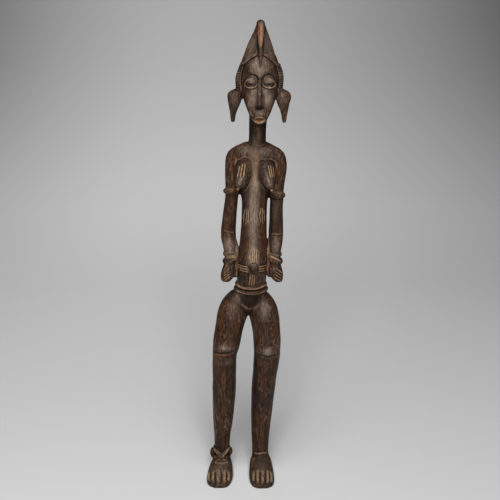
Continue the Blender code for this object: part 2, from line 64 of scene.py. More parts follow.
# Lengths here are metres. Each relief has its passes of easing and the height that counts as full.
HEIGHT = 0.750
SHARE = HEIGHT / 1000
SIDES = 32
ROUGH_GRAIN = 0.0016
FINE_GRAIN = 0.00072
SKIN_TRIANGLES = 188000
BALL_SIDES = 28
BALL_RINGS = 18
BAND_SIDES = 12
BAND_STEPS = 48
SCAR_CUT = 0.0019
SCAR_CUT_DEPTH = 0.0008
SCAR_RIDGE = 0.0023
SCAR_RISE = 0.0005
BROAD_WAVE = 0.00024
SMALL_WAVE = 0.00013
RELIEFS = {"fine_relief": (6, 0.00022), "broad_relief": (60, 0.0011)}


class Look(Enum):
    """The side from which a mark is drawn onto the wood."""

    FRONT = (0, 1, 0)
    BACK = (0, -1, 0)
    ABOVE = (0, 0, -1)
    LEFT = (1, 0, 0)
    RIGHT = (-1, 0, 0)

    @property
    def way(self) -> Vector:
        """The direction of looking."""
        return Vector(self.value)


class Tone(Enum):
    """What a mark or a zone changes in the colour of the wood. The dirt tone also carries painted shade, and
    the handled tone carries painted highlights.
    """

    DIRT_AND_SHADE = "dirt_and_painted_shade"
    PALE = "bared_wood"
    RED = "red_wood"
    WORN_AND_HIGHLIGHT = "handled_and_painted_highlight"
    WAXED = "waxed"


@dataclass(frozen=True)
class Mark:
    """Lines cut into the wood, or raised on it where the depth is below nothing."""

    lines: Sequence[Sequence[Plan]]
    width: float
    depth: float = 0.0
    look: Look = Look.FRONT
    dirt_and_shade: float = 0.0
    pale: float = 0.0
    red: float = 0.0
    worn_and_highlight: float = 0.0
    halo: float = 1.0

    def tones(self) -> list[tuple[Tone, float]]:
        """The tones that the mark leaves, and how much of each."""
        amounts = {Tone.DIRT_AND_SHADE: self.dirt_and_shade, Tone.PALE: self.pale, Tone.RED: self.red, Tone.WORN_AND_HIGHLIGHT: self.worn_and_highlight}
        return [(tone, amount) for tone, amount in amounts.items() if amount]


@dataclass(frozen=True)
class Zone:
    """An egg-shaped region whose colour differs, fading out to its edge."""

    centre: Point
    radii: Point
    tone: Tone
    amount: float


def zones_of(places: dict[Tone, Sequence[tuple[Point, Point, float]]]) -> list[Zone]:
    """The zones of each tone, from their middles, radii and amounts."""
    return [Zone(*row[:2], tone, row[2]) for tone, rows in places.items() for row in rows]


def smooth_step(t: np.ndarray) -> np.ndarray:
    """0 below 0, 1 above 1, and an even slope between."""
    t = np.clip(t, 0, 1)
    return t * t * (3 - 2 * t)


def hermite(stations: Sequence[Station], key: int, step: float) -> list[np.ndarray]:
    """More stations on a smooth curve through the given ones.

    Args:
        stations: Rows of numbers that change along the form.
        key: Which number of a row says how far along it is.
        step: About how far apart the new rows are.

    Returns:
        The rows, the given ones among them.
    """
    rows = np.array(stations, float)
    at = np.abs(rows[:, key] - rows[0, key])
    slope = np.gradient(rows, at, axis=0)
    out = []
    for i in range(len(rows) - 1):
        gap = at[i + 1] - at[i]
        count = max(2, round(gap / step))
        for t in np.arange(count) / count:
            a, b = 2 * t**3 - 3 * t**2 + 1, 3 * t**2 - 2 * t**3
            c, d = t**3 - 2 * t**2 + t, t**3 - t**2
            out.append(a * rows[i] + b * rows[i + 1] + gap * (c * slope[i] + d * slope[i + 1]))
    out.append(rows[-1])
    return out


def ring_shape(squareness: float) -> list[Plan]:
    """The corners of a unit ring, round at 2 and squarer above.

    Args:
        squareness: 2 for a round ring, more for a squarer one.

    Returns:
        The corners, one after the other.
    """
    power = 2 / squareness
    turns = [2 * math.pi * i / SIDES for i in range(SIDES)]
    return [
        (
            math.copysign(abs(math.cos(a)) ** power, math.cos(a)),
            math.copysign(abs(math.sin(a)) ** power, math.sin(a)),
        )
        for a in turns
    ]


def tube(rings: Iterable[Sequence[Point]]) -> bmesh.types.BMesh:
    """A closed tube.

    Args:
        rings: Rings of points in thousandths, one after the other.

    Returns:
        The tube in metres, with both its ends closed.
    """
    bm = bmesh.new()
    bmesh.ops.create_circle(bm, cap_ends=True, segments=SIDES, radius=1)
    bm.faces.ensure_lookup_table()
    face = bm.faces[0]
    for number, ring in enumerate(rings):
        if number:
            made = bmesh.ops.extrude_face_region(bm, geom=[face])["geom"]
            face = next(g for g in made if isinstance(g, bmesh.types.BMFace))
        for loop, point in zip(face.loops, ring):
            loop.vert.co = Vector(point) * SHARE
    bmesh.ops.recalc_face_normals(bm, faces=bm.faces)
    return bm


def upright(stations: Sequence[Station], squareness: float = 2.0, step: float = 5.0) -> bmesh.types.BMesh:
    """A form whose sections lie level.

    Args:
        stations: Height, centre x, centre y, half width and half depth of each section.
        squareness: 2 for round sections, more for squarer ones.
        step: About how far apart the sections are.

    Returns:
        The form in metres.
    """
    shape = ring_shape(squareness)
    return tube(
        [(x + u * w, y + v * d, z) for u, v in shape]
        for z, x, y, w, d in hermite(stations, 0, step)
    )


def along(
    points: Sequence[Point], radii: Sequence[float], squareness: float = 2.0, step: float = 3.0,
    flat: float = 1.0, up: Point = (0, 0, 1),
) -> bmesh.types.BMesh:
    """A rounded form that follows points.

    Args:
        points: The points, in thousandths.
        radii: The radius at each point.
        squareness: 2 for round sections, more for squarer ones.
        step: About how far apart the sections are.
        flat: How thick a section is for its width.
        up: The direction that thickness is measured nearest to.

    Returns:
        The form in metres.
    """
    length = [0.0]
    for a, b in zip(points, points[1:]):
        length.append(length[-1] + (Vector(b) - Vector(a)).length)
    fine = hermite([(s, *p, r) for s, p, r in zip(length, points, radii)], 0, step)
    shape = ring_shape(squareness)
    rings = []
    for i, row in enumerate(fine):
        before, after = fine[max(0, i - 1)], fine[min(len(fine) - 1, i + 1)]
        forward = Vector(after[1:4] - before[1:4]).normalized()
        side = forward.cross(Vector(up)).normalized()
        over = side.cross(forward)
        middle, radius = Vector(row[1:4]), row[4]
        rings.append([middle + side * (u * radius) + over * (v * radius * flat) for u, v in shape])
    return tube(rings)


def turned(turn: Point) -> Matrix:
    """A turn of so many degrees about X, then Y, then Z."""
    x, y, z = (Matrix.Rotation(math.radians(a), 4, axis) for a, axis in zip(turn, "XYZ"))
    return z @ y @ x


def ball(centre: Point, radii: Point, turn: Point = (0, 0, 0)) -> bmesh.types.BMesh:
    """An egg-shaped form.

    Args:
        centre: Its middle, in thousandths.
        radii: Its three radii, in thousandths.
        turn: Degrees about X, Y and Z.

    Returns:
        The form in metres.
    """
    bm = bmesh.new()
    bmesh.ops.create_uvsphere(bm, u_segments=BALL_SIDES, v_segments=BALL_RINGS, radius=1)
    place = Matrix.Translation(Vector(centre) * SHARE) @ turned(turn)
    bm.transform(place @ Matrix.Diagonal((*(Vector(radii) * SHARE), 1)))
    return bm


def band(centre: Point, half_width: float, half_depth: float, thickness: float,
         tilt: Plan = (0, 0)) -> bmesh.types.BMesh:
    """A ring carved round a limb, with a round edge.

    Args:
        centre: Its middle, in thousandths.
        half_width: From its middle to the middle of its edge across, in thousandths.
        half_depth: The same from front to back.
        thickness: How thick the ring is, in metres.
        tilt: Degrees about X and Y.

    Returns:
        The ring in metres.
    """
    bm = bmesh.new()
    shape = bmesh.ops.create_circle(bm, segments=BAND_SIDES, radius=thickness / 2)["verts"]
    bmesh.ops.rotate(bm, verts=shape, matrix=Matrix.Rotation(math.pi / 2, 3, "X"))
    bmesh.ops.translate(bm, verts=shape, vec=(1, 0, 0))
    bmesh.ops.spin(
        bm, geom=bm.edges[:], axis=(0, 0, 1), cent=(0, 0, 0), steps=BAND_STEPS,
        angle=2 * math.pi, use_merge=True,
    )
    for vert in bm.verts:
        flat = vert.co.xy.length
        out = vert.co.xy / flat
        edge = Vector((out.x * half_width, out.y * half_depth)) * SHARE
        vert.co.xy = edge + out * (flat - 1)
    bm.transform(Matrix.Translation(Vector(centre) * SHARE) @ turned((tilt[0], tilt[1], 0)))
    bmesh.ops.recalc_face_normals(bm, faces=bm.faces)
    return bm


def beside(line: Sequence[Plan], shift: float) -> list[Plan]:
    """A line of plan points moved sideways, to its left where the shift is above nothing.

    Args:
        line: The line.
        shift: How far, in the line's own units.

    Returns:
        The moved line.
    """
    moved = []
    for i, point in enumerate(line):
        a, b = Vector(line[max(0, i - 1)]), Vector(line[min(len(line) - 1, i + 1)])
        run = (b - a).normalized()
        moved.append((point[0] - run.y * shift, point[1] + run.x * shift))
    return moved


def between(a: Sequence[Plan], b: Sequence[Plan], share: float = 0.5) -> list[Plan]:
    """The line that lies between two lines of as many points."""
    return [tuple(Vector(p).lerp(Vector(q), share)) for p, q in zip(a, b)]


def fan(count: int, start: Plan, start_step: Plan, end: Plan, end_step: Plan) -> list[list[Plan]]:
    """Straight lines side by side.

    Args:
        count: How many.
        start: Where the first one starts.
        start_step: From one start to the next.
        end: Where the first one ends.
        end_step: From one end to the next.

    Returns:
        The two ends of each line.
    """
    return [
        [(start[0] + i * start_step[0], start[1] + i * start_step[1]),
         (end[0] + i * end_step[0], end[1] + i * end_step[1])]
        for i in range(count)
    ]


def from_front(points: Sequence[Point]) -> list[Plan]:
    """The points in the plan seen from the front."""
    return [(x, z) for x, _, z in points]


def scar_group(ridges: Sequence[Sequence[Plan]], spread: float = 1.0) -> list[Mark]:
    """Raised pale scars, with dirty cuts between and beside them.

    Args:
        ridges: The scars from one side to the other, each of as many points.
        spread: How wide a scar is for its usual width.

    Returns:
        The marks, cuts and scars.
    """
    first = between(ridges[0], ridges[1], -0.5)
    last = between(ridges[-1], ridges[-2], -0.5)
    inner = [between(a, b) for a, b in zip(ridges, ridges[1:])]
    return [
        Mark([first, *inner, last], SCAR_CUT * spread, SCAR_CUT_DEPTH, dirt_and_shade=0.72),
        Mark(ridges, SCAR_RIDGE * spread, -SCAR_RISE, pale=0.85, halo=0.9),
    ]


@dataclass
class Head:
    """The neck, the long face, and the hair with its crest, plaits and hanging tresses."""

    neck: Sequence[Station] = (
        (735, 19.5, 4, 19.5, 20), (748, 20, 1, 18.4, 19), (768, 21, -4, 17.9, 18.5),
        (790, 21.5, -9, 18, 18), (812, 22.5, -10, 19, 20), (835, 23.5, -6, 20, 24),
    )
    skull: Sequence[Station] = (
        (794, 24.5, -49, 6, 7), (799, 24.5, -46, 12, 13), (806, 24.5, -40, 17.5, 20.5),
        (815, 24.5, -32, 22.5, 26.5), (826, 24.5, -22, 27.5, 32), (838, 24.5, -13, 32, 37.5),
        (850, 24.7, -7, 35.8, 41.5), (864, 25, -4.5, 38, 44.5), (880, 25.2, -3, 39, 46.5),
        (895, 25.3, -3, 39.5, 48), (910, 25.3, -1.5, 38.5, 48), (924, 25.3, 1, 34.5, 45.5),
        (936, 25.3, 4, 27, 40), (946, 25.3, 6, 16, 30),
    )
    hair_roof: Sequence[Station] = (
        (894, 25, 14, 36, 30), (903, 24.8, 11, 38.6, 37), (912, 24.7, 8.5, 37.2, 40.5),
        (922, 24.7, 6, 34.3, 42), (932, 24.8, 4, 31, 42.5), (944, 25.2, 2.5, 27, 40.5),
        (956, 25.6, 0.5, 22.3, 35.5), (968, 26.1, -2, 17.4, 29), (980, 26.6, -4, 12.4, 21.5),
        (990, 26.9, -5, 8.6, 14), (997, 27, -5, 4.4, 8),
    )
    left_tress: Sequence[Station] = (
        (863, -11, 1, 9.5, 8), (856, -20, 1, 15.6, 10.5), (848, -24.8, 1, 16.6, 12),
        (840, -25.8, 0.5, 15.2, 11.5), (830, -27, 0, 12.8, 10), (818, -28.5, -1, 8.8, 8),
        (807, -29.5, -2, 6.2, 6.5), (797.5, -29.9, -2.5, 5.2, 5.2), (792, -29.9, -2.5, 4, 4.2),
    )
    right_tress: Sequence[Station] = (
        (862, 61, 1, 9.5, 8), (855, 69, 1, 15.4, 10.5), (847, 73.3, 1, 16.5, 12),
        (840, 74.2, 0.5, 15.6, 11.5), (830, 73.6, 0, 13, 10), (818, 75.1, -1, 9.2, 8),
        (807, 75.6, -2, 6.5, 6.5), (797, 75.8, -2.5, 5.4, 5.2), (790.5, 75.8, -2.5, 4.2, 4.2),
    )
    left_temple: Sequence[Point] = ((-10, -10, 906), (-14.5, -9, 886), (-15.5, -5, 864))
    right_temple: Sequence[Point] = ((60, -10, 906), (64.5, -9, 886), (65, -5, 864))
    temple_radii: Sequence[float] = (5, 5.5, 5.5)
    crest: Sequence[Point] = (
        (26, -52, 909), (26.1, -48, 922), (26.1, -38, 940), (26.4, -22, 966), (26.8, -5, 991),
        (26.8, 10, 985), (26.5, 25, 966), (26, 40, 942), (25.8, 48, 915), (25.5, 45, 885), (25, 37, 862),
    )
    crest_radii: Sequence[float] = (0.8, 2.3, 4.2, 6.4, 8.6, 9, 8, 6.5, 5.5, 5, 3)
    nose: Sequence[Point] = (
        (24.8, -46, 884), (24.8, -44.5, 870), (24.8, -49.5, 856), (24.6, -55, 843), (24.3, -57.5, 836),
    )
    nose_radii: Sequence[float] = (3.6, 3.3, 3.3, 3.6, 4.2)
    nose_block: tuple[Point, Point] = ((24, -55.5, 831.6), (8.5, 6.6, 5.2))
    nose_tip: tuple[Point, Point] = ((24.2, -59, 836.2), (4.6, 4.6, 4.6))
    mouth: tuple[Point, Point] = ((24.2, -55.5, 804.5), (12.4, 6.6, 7.4))
    upper_lip: Sequence[Point] = (
        (12.6, -49.5, 806.4), (17.5, -60, 809.3), (24.2, -62.6, 810), (31, -60, 809.3), (36, -50, 806.8),
    )
    upper_lip_radii: Sequence[float] = (1.6, 2.5, 2.8, 2.5, 1.6)
    lower_lip: Sequence[Point] = (
        (12.6, -49.5, 805), (17.5, -59.2, 801.6), (24.2, -61.8, 800.2), (31, -59.2, 801.6), (36, -50, 805),
    )
    lower_lip_radii: Sequence[float] = (1.6, 2.7, 3.1, 2.7, 1.6)
    socket_middles: Plan = (8.0, 43.8)
    socket_half_width: float = 19
    socket_height: float = 876
    socket_rise: float = 22.5
    socket_fall: float = 62
    socket_fade: float = 58
    socket_depth: float = 5.2
    socket_edge: float = 0.12
    face_back: float = -12
    eyes: Plan = (7.2, 44.0)
    eye_height: float = 875.6
    eyeball: Point = (9.2, 6.2, 6.4)
    eyeball_front: float = -38.6
    upper_lid: Point = (8.6, 5.8, 4.4)
    upper_lid_front: float = -40.2
    upper_lid_above: float = 2.2
    eye_turn: float = 12
    rim: Plan = (12.4, 8.8)
    rim_front: float = -40.6
    rim_turn: float = 13
    eye_rim: float = 0.0030
    hair_edge: float = 0.0046
    face_rim: float = 0.0028
    left_hairline: Sequence[Point] = (
        (20, -41, 934.5), (12, -42.5, 931), (2, -41.5, 924.5), (-8, -37, 915),
    )
    right_hairline: Sequence[Point] = (
        (33, -41, 934), (41, -42.5, 929.5), (51, -41.5, 922.5), (59.5, -37, 912),
    )
    left_knob: Point = (-9.6, -34.5, 914)
    right_knob: Point = (61.2, -34.5, 911)
    knob_radii: Point = (3.6, 5, 4)
    left_face_edge: Sequence[Point] = (
        (-8.4, -37, 911), (-13, -31, 895), (-14.8, -24, 876), (-12.6, -12, 853),
    )
    right_face_edge: Sequence[Point] = ((59.5, -36, 908), (64, -30, 893), (65.8, -23, 876), (63.4, -12, 853))
    left_plait: Sequence[Point] = ((-10.5, -29, 914), (-16.8, -22, 897), (-20.3, -13, 880), (-20.2, -6, 862))
    right_plait: Sequence[Point] = ((62.9, -29, 911), (67.4, -22, 897), (69.5, -13, 880), (68.8, -6, 862))
    plait_core: Sequence[float] = (3.4, 4.2, 4.4, 3.6)
    plait_pitch: float = 6.0
    plait_lobe: Point = (4.9, 6.2, 2.9)
    plait_taper: float = 0.22
    lobe_turn: Plan = (38, 30)
    plait_cut: float = 5.0
    plait_half_width: float = 5
    brow: Sequence[Plan] = (
        (-10, 877), (-4.5, 889), (8, 897.5), (19, 893.7), (25.2, 885), (32, 894), (44, 898.4),
        (54.5, 891), (61, 876.5),
    )

    def masses(self) -> list[bmesh.types.BMesh]:
        """The big forms.

        Returns:
            The forms in metres.
        """
        return [
            upright(self.neck), upright(self.skull, 2.15), upright(self.hair_roof, 1.9),
            upright(self.left_tress), upright(self.right_tress),
            along(self.left_temple, self.temple_radii), along(self.right_temple, self.temple_radii),
        ]

    def hollows(self, points: np.ndarray) -> np.ndarray:
        """How far the face is hollowed under the two brow arches.

        Args:
            points: Places in thousandths.

        Returns:
            How far each is moved back, in thousandths.
        """
        x, y, z = points.T
        above = z - self.socket_height
        depth = np.zeros(len(points))
        for middle in self.socket_middles:
            across = (x - middle) / self.socket_half_width
            under = np.where(above > 0, above / self.socket_rise, above / self.socket_fall)
            inside = 1 - np.hypot(across, under)
            fade = np.where(above > 0, 1, 1 - smooth_step(-above / self.socket_fade))
            depth = np.maximum(depth, self.socket_depth * smooth_step(inside / self.socket_edge) * fade)
        return np.where(y < self.face_back, depth, 0)

    def eye(self, middle: float, outward: int) -> list[bmesh.types.BMesh]:
        """An eye: its ball, its upper lid and the rim round both.

        Args:
            middle: Where it lies across the face.
            outward: -1 for the left one, 1 for the right one.

        Returns:
            The forms in metres.
        """
        turn = (0, 0, outward * self.eye_turn)
        lid_height = self.eye_height + self.upper_lid_above
        return [
            ball((middle, self.eyeball_front, self.eye_height), self.eyeball, turn),
            ball((middle, self.upper_lid_front, lid_height), self.upper_lid, turn),
            band((middle, self.rim_front, self.eye_height), *self.rim, self.eye_rim,
                 (90, outward * self.rim_turn)),
        ]

    def plait(self, path: Sequence[Point], outward: int) -> list[bmesh.types.BMesh]:
        """A plait of overlapping slanted lobes on a thinner core.

        Args:
            path: The plait's middle line.
            outward: -1 for the left one, 1 for the right one.

        Returns:
            The forms in metres.
        """
        forms = [along(path, self.plait_core)]
        rows = hermite([(p[2], *p) for p in path], 0, self.plait_pitch)
        wide, deep, thick = self.plait_lobe
        tip, lean = self.lobe_turn
        for i, row in enumerate(rows):
            size = 1 - self.plait_taper * abs(i / (len(rows) - 1) - 0.5)
            forms.append(ball(row[1:4], (wide * size, deep, thick), (tip, outward * lean, 0)))
        return forms

    def features(self) -> list[bmesh.types.BMesh]:
        """The crest, the hair's edges, the plaits, and the parts of the face.

        Returns:
            The forms in metres.
        """
        forms = [
            along(self.crest, self.crest_radii, up=(1, 0, 0)),
            along(self.nose, self.nose_radii, squareness=2.6, up=(1, 0, 0)),
            ball(*self.nose_block), ball(*self.nose_tip), ball(*self.mouth),
            along(self.upper_lip, self.upper_lip_radii), along(self.lower_lip, self.lower_lip_radii),
        ]
        forms += self.eye(self.eyes[0], -1) + self.eye(self.eyes[1], 1)
        radius = self.hair_edge / 2 / SHARE
        for edge, knob in ((self.left_hairline, self.left_knob), (self.right_hairline, self.right_knob)):
            forms.append(along(edge, (radius * 0.5, radius, radius, radius)))
            forms.append(ball(knob, self.knob_radii))
        radius = self.face_rim / 2 / SHARE
        for edge in (self.left_face_edge, self.right_face_edge):
            forms.append(along(edge, (radius * 0.8, radius, radius, radius * 0.8)))
        forms += self.plait(self.left_plait, -1) + self.plait(self.right_plait, 1)
        return forms

    def across_plait(self, path: Sequence[Point], axis: int) -> list[list[Plan]]:
        """Short cuts across a plait.

        Args:
            path: The plait's middle line.
            axis: 0 for the plan seen from the front, 1 for the one seen from a side.

        Returns:
            The cuts' lines.
        """
        cuts = []
        rows = hermite([(p[2], p[axis], p[2]) for p in path], 0, self.plait_cut)
        for before, after in zip(rows, rows[1:]):
            middle, run = Vector((before[1:] + after[1:]) / 2), Vector(after[1:] - before[1:]).normalized()
            across = Vector((run.y, -run.x)) * self.plait_half_width
            cuts.append([tuple(middle - across), tuple(middle + across)])
        return cuts

    def hair_strands(self) -> list[Mark]:
        """Fine slanting lines over the plates of hair, on every side of it.

        Returns:
            The marks.
        """
        left = fan(7, (21.8, 986), (-0.35, -6.8), (-6.5, 920), (2.9, 2))
        right = [[(52.6 - start[0], start[1]), (51.6 - end[0], end[1] - 2)] for start, end in left]
        flank = [[(-20 + 4.6 * i, 972 - 0.19 * (i - 4.5) ** 2), (-27 + 5.6 * i, 903)] for i in range(13)]
        rear = fan(7, (20, 972), (-0.6, -7), (-3, 900), (3.2, 0))
        rear += fan(7, (32, 972), (0.6, -7), (54, 900), (-3.2, 0))
        strand, depth = 0.0016, 0.0006
        return [
            Mark(left + right, strand, depth, dirt_and_shade=0.75),
            Mark(flank, strand, depth, Look.LEFT, dirt_and_shade=0.6),
            Mark(flank, strand, depth, Look.RIGHT, dirt_and_shade=0.6),
            Mark(rear, strand, depth, Look.BACK, dirt_and_shade=0.6),
        ]

    def crest_marks(self) -> list[Mark]:
        """The crest's clefts, its worn front and the dark wedge where it meets the forehead.

        Returns:
            The marks.
        """
        clefts = [[(18.4, 966), (18.8, 952), (20.6, 941)], [(34.6, 966), (34, 952), (32, 941)]]
        return [
            Mark(clefts, 0.0060, 0.0026, dirt_and_shade=0.95),
            Mark([[(28.6, 990), (28.4, 972), (27.4, 952)]], 0.0036, -0.0003, pale=0.62),
            Mark([[(27.5, 956), (26.8, 938), (26.4, 922)]], 0.0024, -0.0002, pale=0.13),
            Mark([[(29.4, 993), (29.4, 976), (28.6, 960)]], 0.0056, pale=0.5),
            Mark([[(24, 993), (23.6, 974), (24.2, 956)]], 0.0036, 0.0002, pale=0.4, red=0.9),
            Mark([[(24.4, 936), (24.9, 924)]], 0.0046, dirt_and_shade=0.9),
            Mark([[(24.9, 926), (25.2, 910)]], 0.0028, dirt_and_shade=0.85),
        ]

    def hair_marks(self) -> list[Mark]:
        """The cuts across the plaits and the lines along the hair's edges.

        Returns:
            The marks.
        """
        plaits = self.across_plait(self.left_plait, 0) + self.across_plait(self.right_plait, 0)
        left_edge, right_edge = from_front(self.left_hairline), from_front(self.right_hairline)
        face_edges = [[(-8.4, 911), (-13, 895), (-14.8, 876), (-12.8, 855)],
                      [(59.5, 908), (64, 893), (65.8, 876), (63.6, 855)]]
        before_plaits = [[(-12, 884), (-12.6, 868), (-11, 856)], [(63, 884), (63.6, 868), (62, 856)]]
        return [
            Mark(plaits, 0.0015, 0.0009, dirt_and_shade=1.0),
            Mark(self.across_plait(self.left_plait, 1), 0.0012, 0.0008, Look.LEFT, dirt_and_shade=1.0),
            Mark(self.across_plait(self.right_plait, 1), 0.0012, 0.0008, Look.RIGHT, dirt_and_shade=1.0),
            Mark([beside(left_edge, 3.7), beside(right_edge, -3.7)], 0.0015, 0.0008, dirt_and_shade=0.7),
            Mark([left_edge, right_edge], 0.0032, worn_and_highlight=0.38),
            Mark(face_edges, 0.0022, worn_and_highlight=0.55),
            Mark(before_plaits, 0.0016, red=0.9, worn_and_highlight=0.3),
        ]

    def eye_marks(self) -> list[Mark]:
        """The brows with painted shade under them, the lids, the slits between them and the cut round each
        eye.

        Returns:
            The marks.
        """
        left, right = self.brow[:5], self.brow[4:]
        wide, high = self.rim
        below, rings, lower_lids, upper_lids, slits = np.radians(range(190, 351, 16)), [], [], [], []
        for middle in self.eyes:
            z = self.eye_height
            rings.append([(middle + 15 * math.cos(a), z + 11 * math.sin(a)) for a in below])
            lower_lids.append([(middle + wide * math.cos(a), z + high * math.sin(a)) for a in below])
            upper_lids.append([(middle + wide * math.cos(a), z - high * math.sin(a)) for a in below])
            slits.append([(middle - 8, z - 1), (middle - 3.4, z - 2), (middle + 1.6, z - 2.2),
                          (middle + 7, z - 1.6)])
        return [
            Mark([left, right], 0.0030, -0.0005, worn_and_highlight=0.3),
            # Under each brow: a cut whose dark line is painted shade, then a wider red-brown band of painted
            # shade.
            Mark([beside(left, -3.1), beside(right, -3.1)], 0.0018, 0.0007, dirt_and_shade=0.9),
            Mark([beside(left, -5.2), beside(right, -5.2)], 0.0050, dirt_and_shade=0.45, red=0.5),
            Mark(rings, 0.0022, 0.0008, dirt_and_shade=0.85),
            Mark(lower_lids, 0.0022, pale=0.3),
            Mark(upper_lids, 0.0020, pale=0.2),
            Mark(slits, 0.0052, 0.0008, dirt_and_shade=0.97, red=0.6),
        ]

    def nose_and_mouth_marks(self) -> list[Mark]:
        """The nose's sides and nostrils, painted shade under the nose block, the lips, and the cheeks' short
        lines.

        Returns:
            The marks.
        """
        sides = [[(20.4, 884), (20.2, 862), (20, 845)], [(28.9, 884), (29, 862), (28.8, 845)]]
        nostrils = [[(18.6, 832), (19.4, 828.6)], [(29.6, 832), (28.8, 828.6)]]
        lower_lip = [(13.6, 803.4), (18, 800.6), (24.2, 799.4), (30.4, 800.6), (35, 803.4)]
        upper_lip = [(14.6, 808.4), (19, 811.2), (24.2, 812), (29.4, 811.2), (34, 808.4)]
        cheeks = [[(3.8, 820), (7.4, 816.2), (10.6, 812)], [(41.6, 819.4), (38.4, 811.6)]]
        return [
            Mark(sides, 0.0013, 0.0003, dirt_and_shade=0.45),
            Mark([[(24.8, 884), (24.8, 838)]], 0.0032, red=0.75, dirt_and_shade=0.2),
            Mark(nostrils, 0.0040, 0.0014, dirt_and_shade=1.0),
            # Painted shade along the underside of the nose block.
            Mark([[(18.4, 828.4), (24, 827.4), (29.6, 828.4)]], 0.0034, dirt_and_shade=0.9),
            Mark([[(13.6, 805.6), (18, 805.2), (24.2, 804.9), (30.4, 805.2), (35, 805.8)]],
                 0.0026, 0.0020, pale=0.9, red=0.9),
            Mark([lower_lip], 0.0038, pale=0.95),
            Mark([upper_lip], 0.0018, pale=0.5),
            Mark(cheeks, 0.0018, -0.0003, worn_and_highlight=0.8, pale=0.15),
            Mark([[(10.2, 804.6), (12.6, 797)]], 0.0014, worn_and_highlight=0.8),
        ]

    def marks(self) -> list[Mark]:
        """Everything that is cut or raised on the head and round the neck's foot.

        Returns:
            The marks.
        """
        neck_ridge = [(3.2, 751), (12.4, 747.6), (22.7, 746), (33.1, 747), (39.4, 751)]
        neck_cut = [(3.6, 755), (12.4, 751.4), (22.7, 749.6), (33.1, 750.8), (39, 755)]
        return [
            *self.hair_strands(), *self.hair_marks(), *self.crest_marks(), *self.eye_marks(),
            *self.nose_and_mouth_marks(),
            Mark([neck_ridge], 0.0018, -0.0003, worn_and_highlight=0.5),
            Mark([neck_cut], 0.0018, 0.0004, dirt_and_shade=0.5),
        ]

    def zones(self) -> list[Zone]:
        """Where the head is rubbed or dirty. Some zones are painted shade under the nose, under the chin and
        down the sides of the neck, and one is a painted highlight down the middle of the neck.

        Returns:
            The zones.
        """
        return zones_of({
            Tone.WORN_AND_HIGHLIGHT: (
                ((25, -46, 908), (20, 20, 20), 0.78), ((8, -46, 856), (14, 18, 34), 0.76),
                ((43, -46, 856), (14, 18, 34), 0.74), ((24, -58, 817), (14, 14, 8), 0.35),
                ((6, -30, 950), (14, 26, 36), 0.74), ((46, -30, 950), (14, 26, 36), 0.74),
                ((8, -40, 886), (15, 16, 9), 0.75), ((43, -40, 886), (15, 16, 9), 0.75),
                # (23.5, -24, 770) is a painted highlight down the middle of the neck.
                ((23.5, -24, 770), (4, 14, 26), 0.4), ((-18, -20, 890), (6, 16, 28), 0.75),
                ((68.5, -20, 888), (6, 16, 28), 0.75), ((72, -10, 843), (14, 16, 18), 0.42),
                ((-26, -10, 838), (10, 16, 18), 0.22),
            ),
            Tone.DIRT_AND_SHADE: (
                ((0, -36, 904), (8, 14, 12), 0.35), ((49, -38, 904), (7, 14, 12), 0.2),
                # (24, -60, 830) is painted shade under the nose block.
                ((24, -60, 830), (8.6, 9, 5), 0.92), ((33, -46, 908), (5, 12, 11), 0.35),
                # These two zones are painted shade down both sides of the neck.
                ((8, -19, 775), (11, 20, 44), 1.0), ((37, -19, 775), (9, 20, 44), 0.92),
                # (21, -22, 800) is painted shade under the chin.
                ((25.6, -51, 922), (3.6, 10, 15), 0.5), ((21, -22, 800), (22, 14, 8), 0.9),
            ),
            Tone.PALE: (((4, -30, 946), (10, 26, 26), 0.1),),
        })


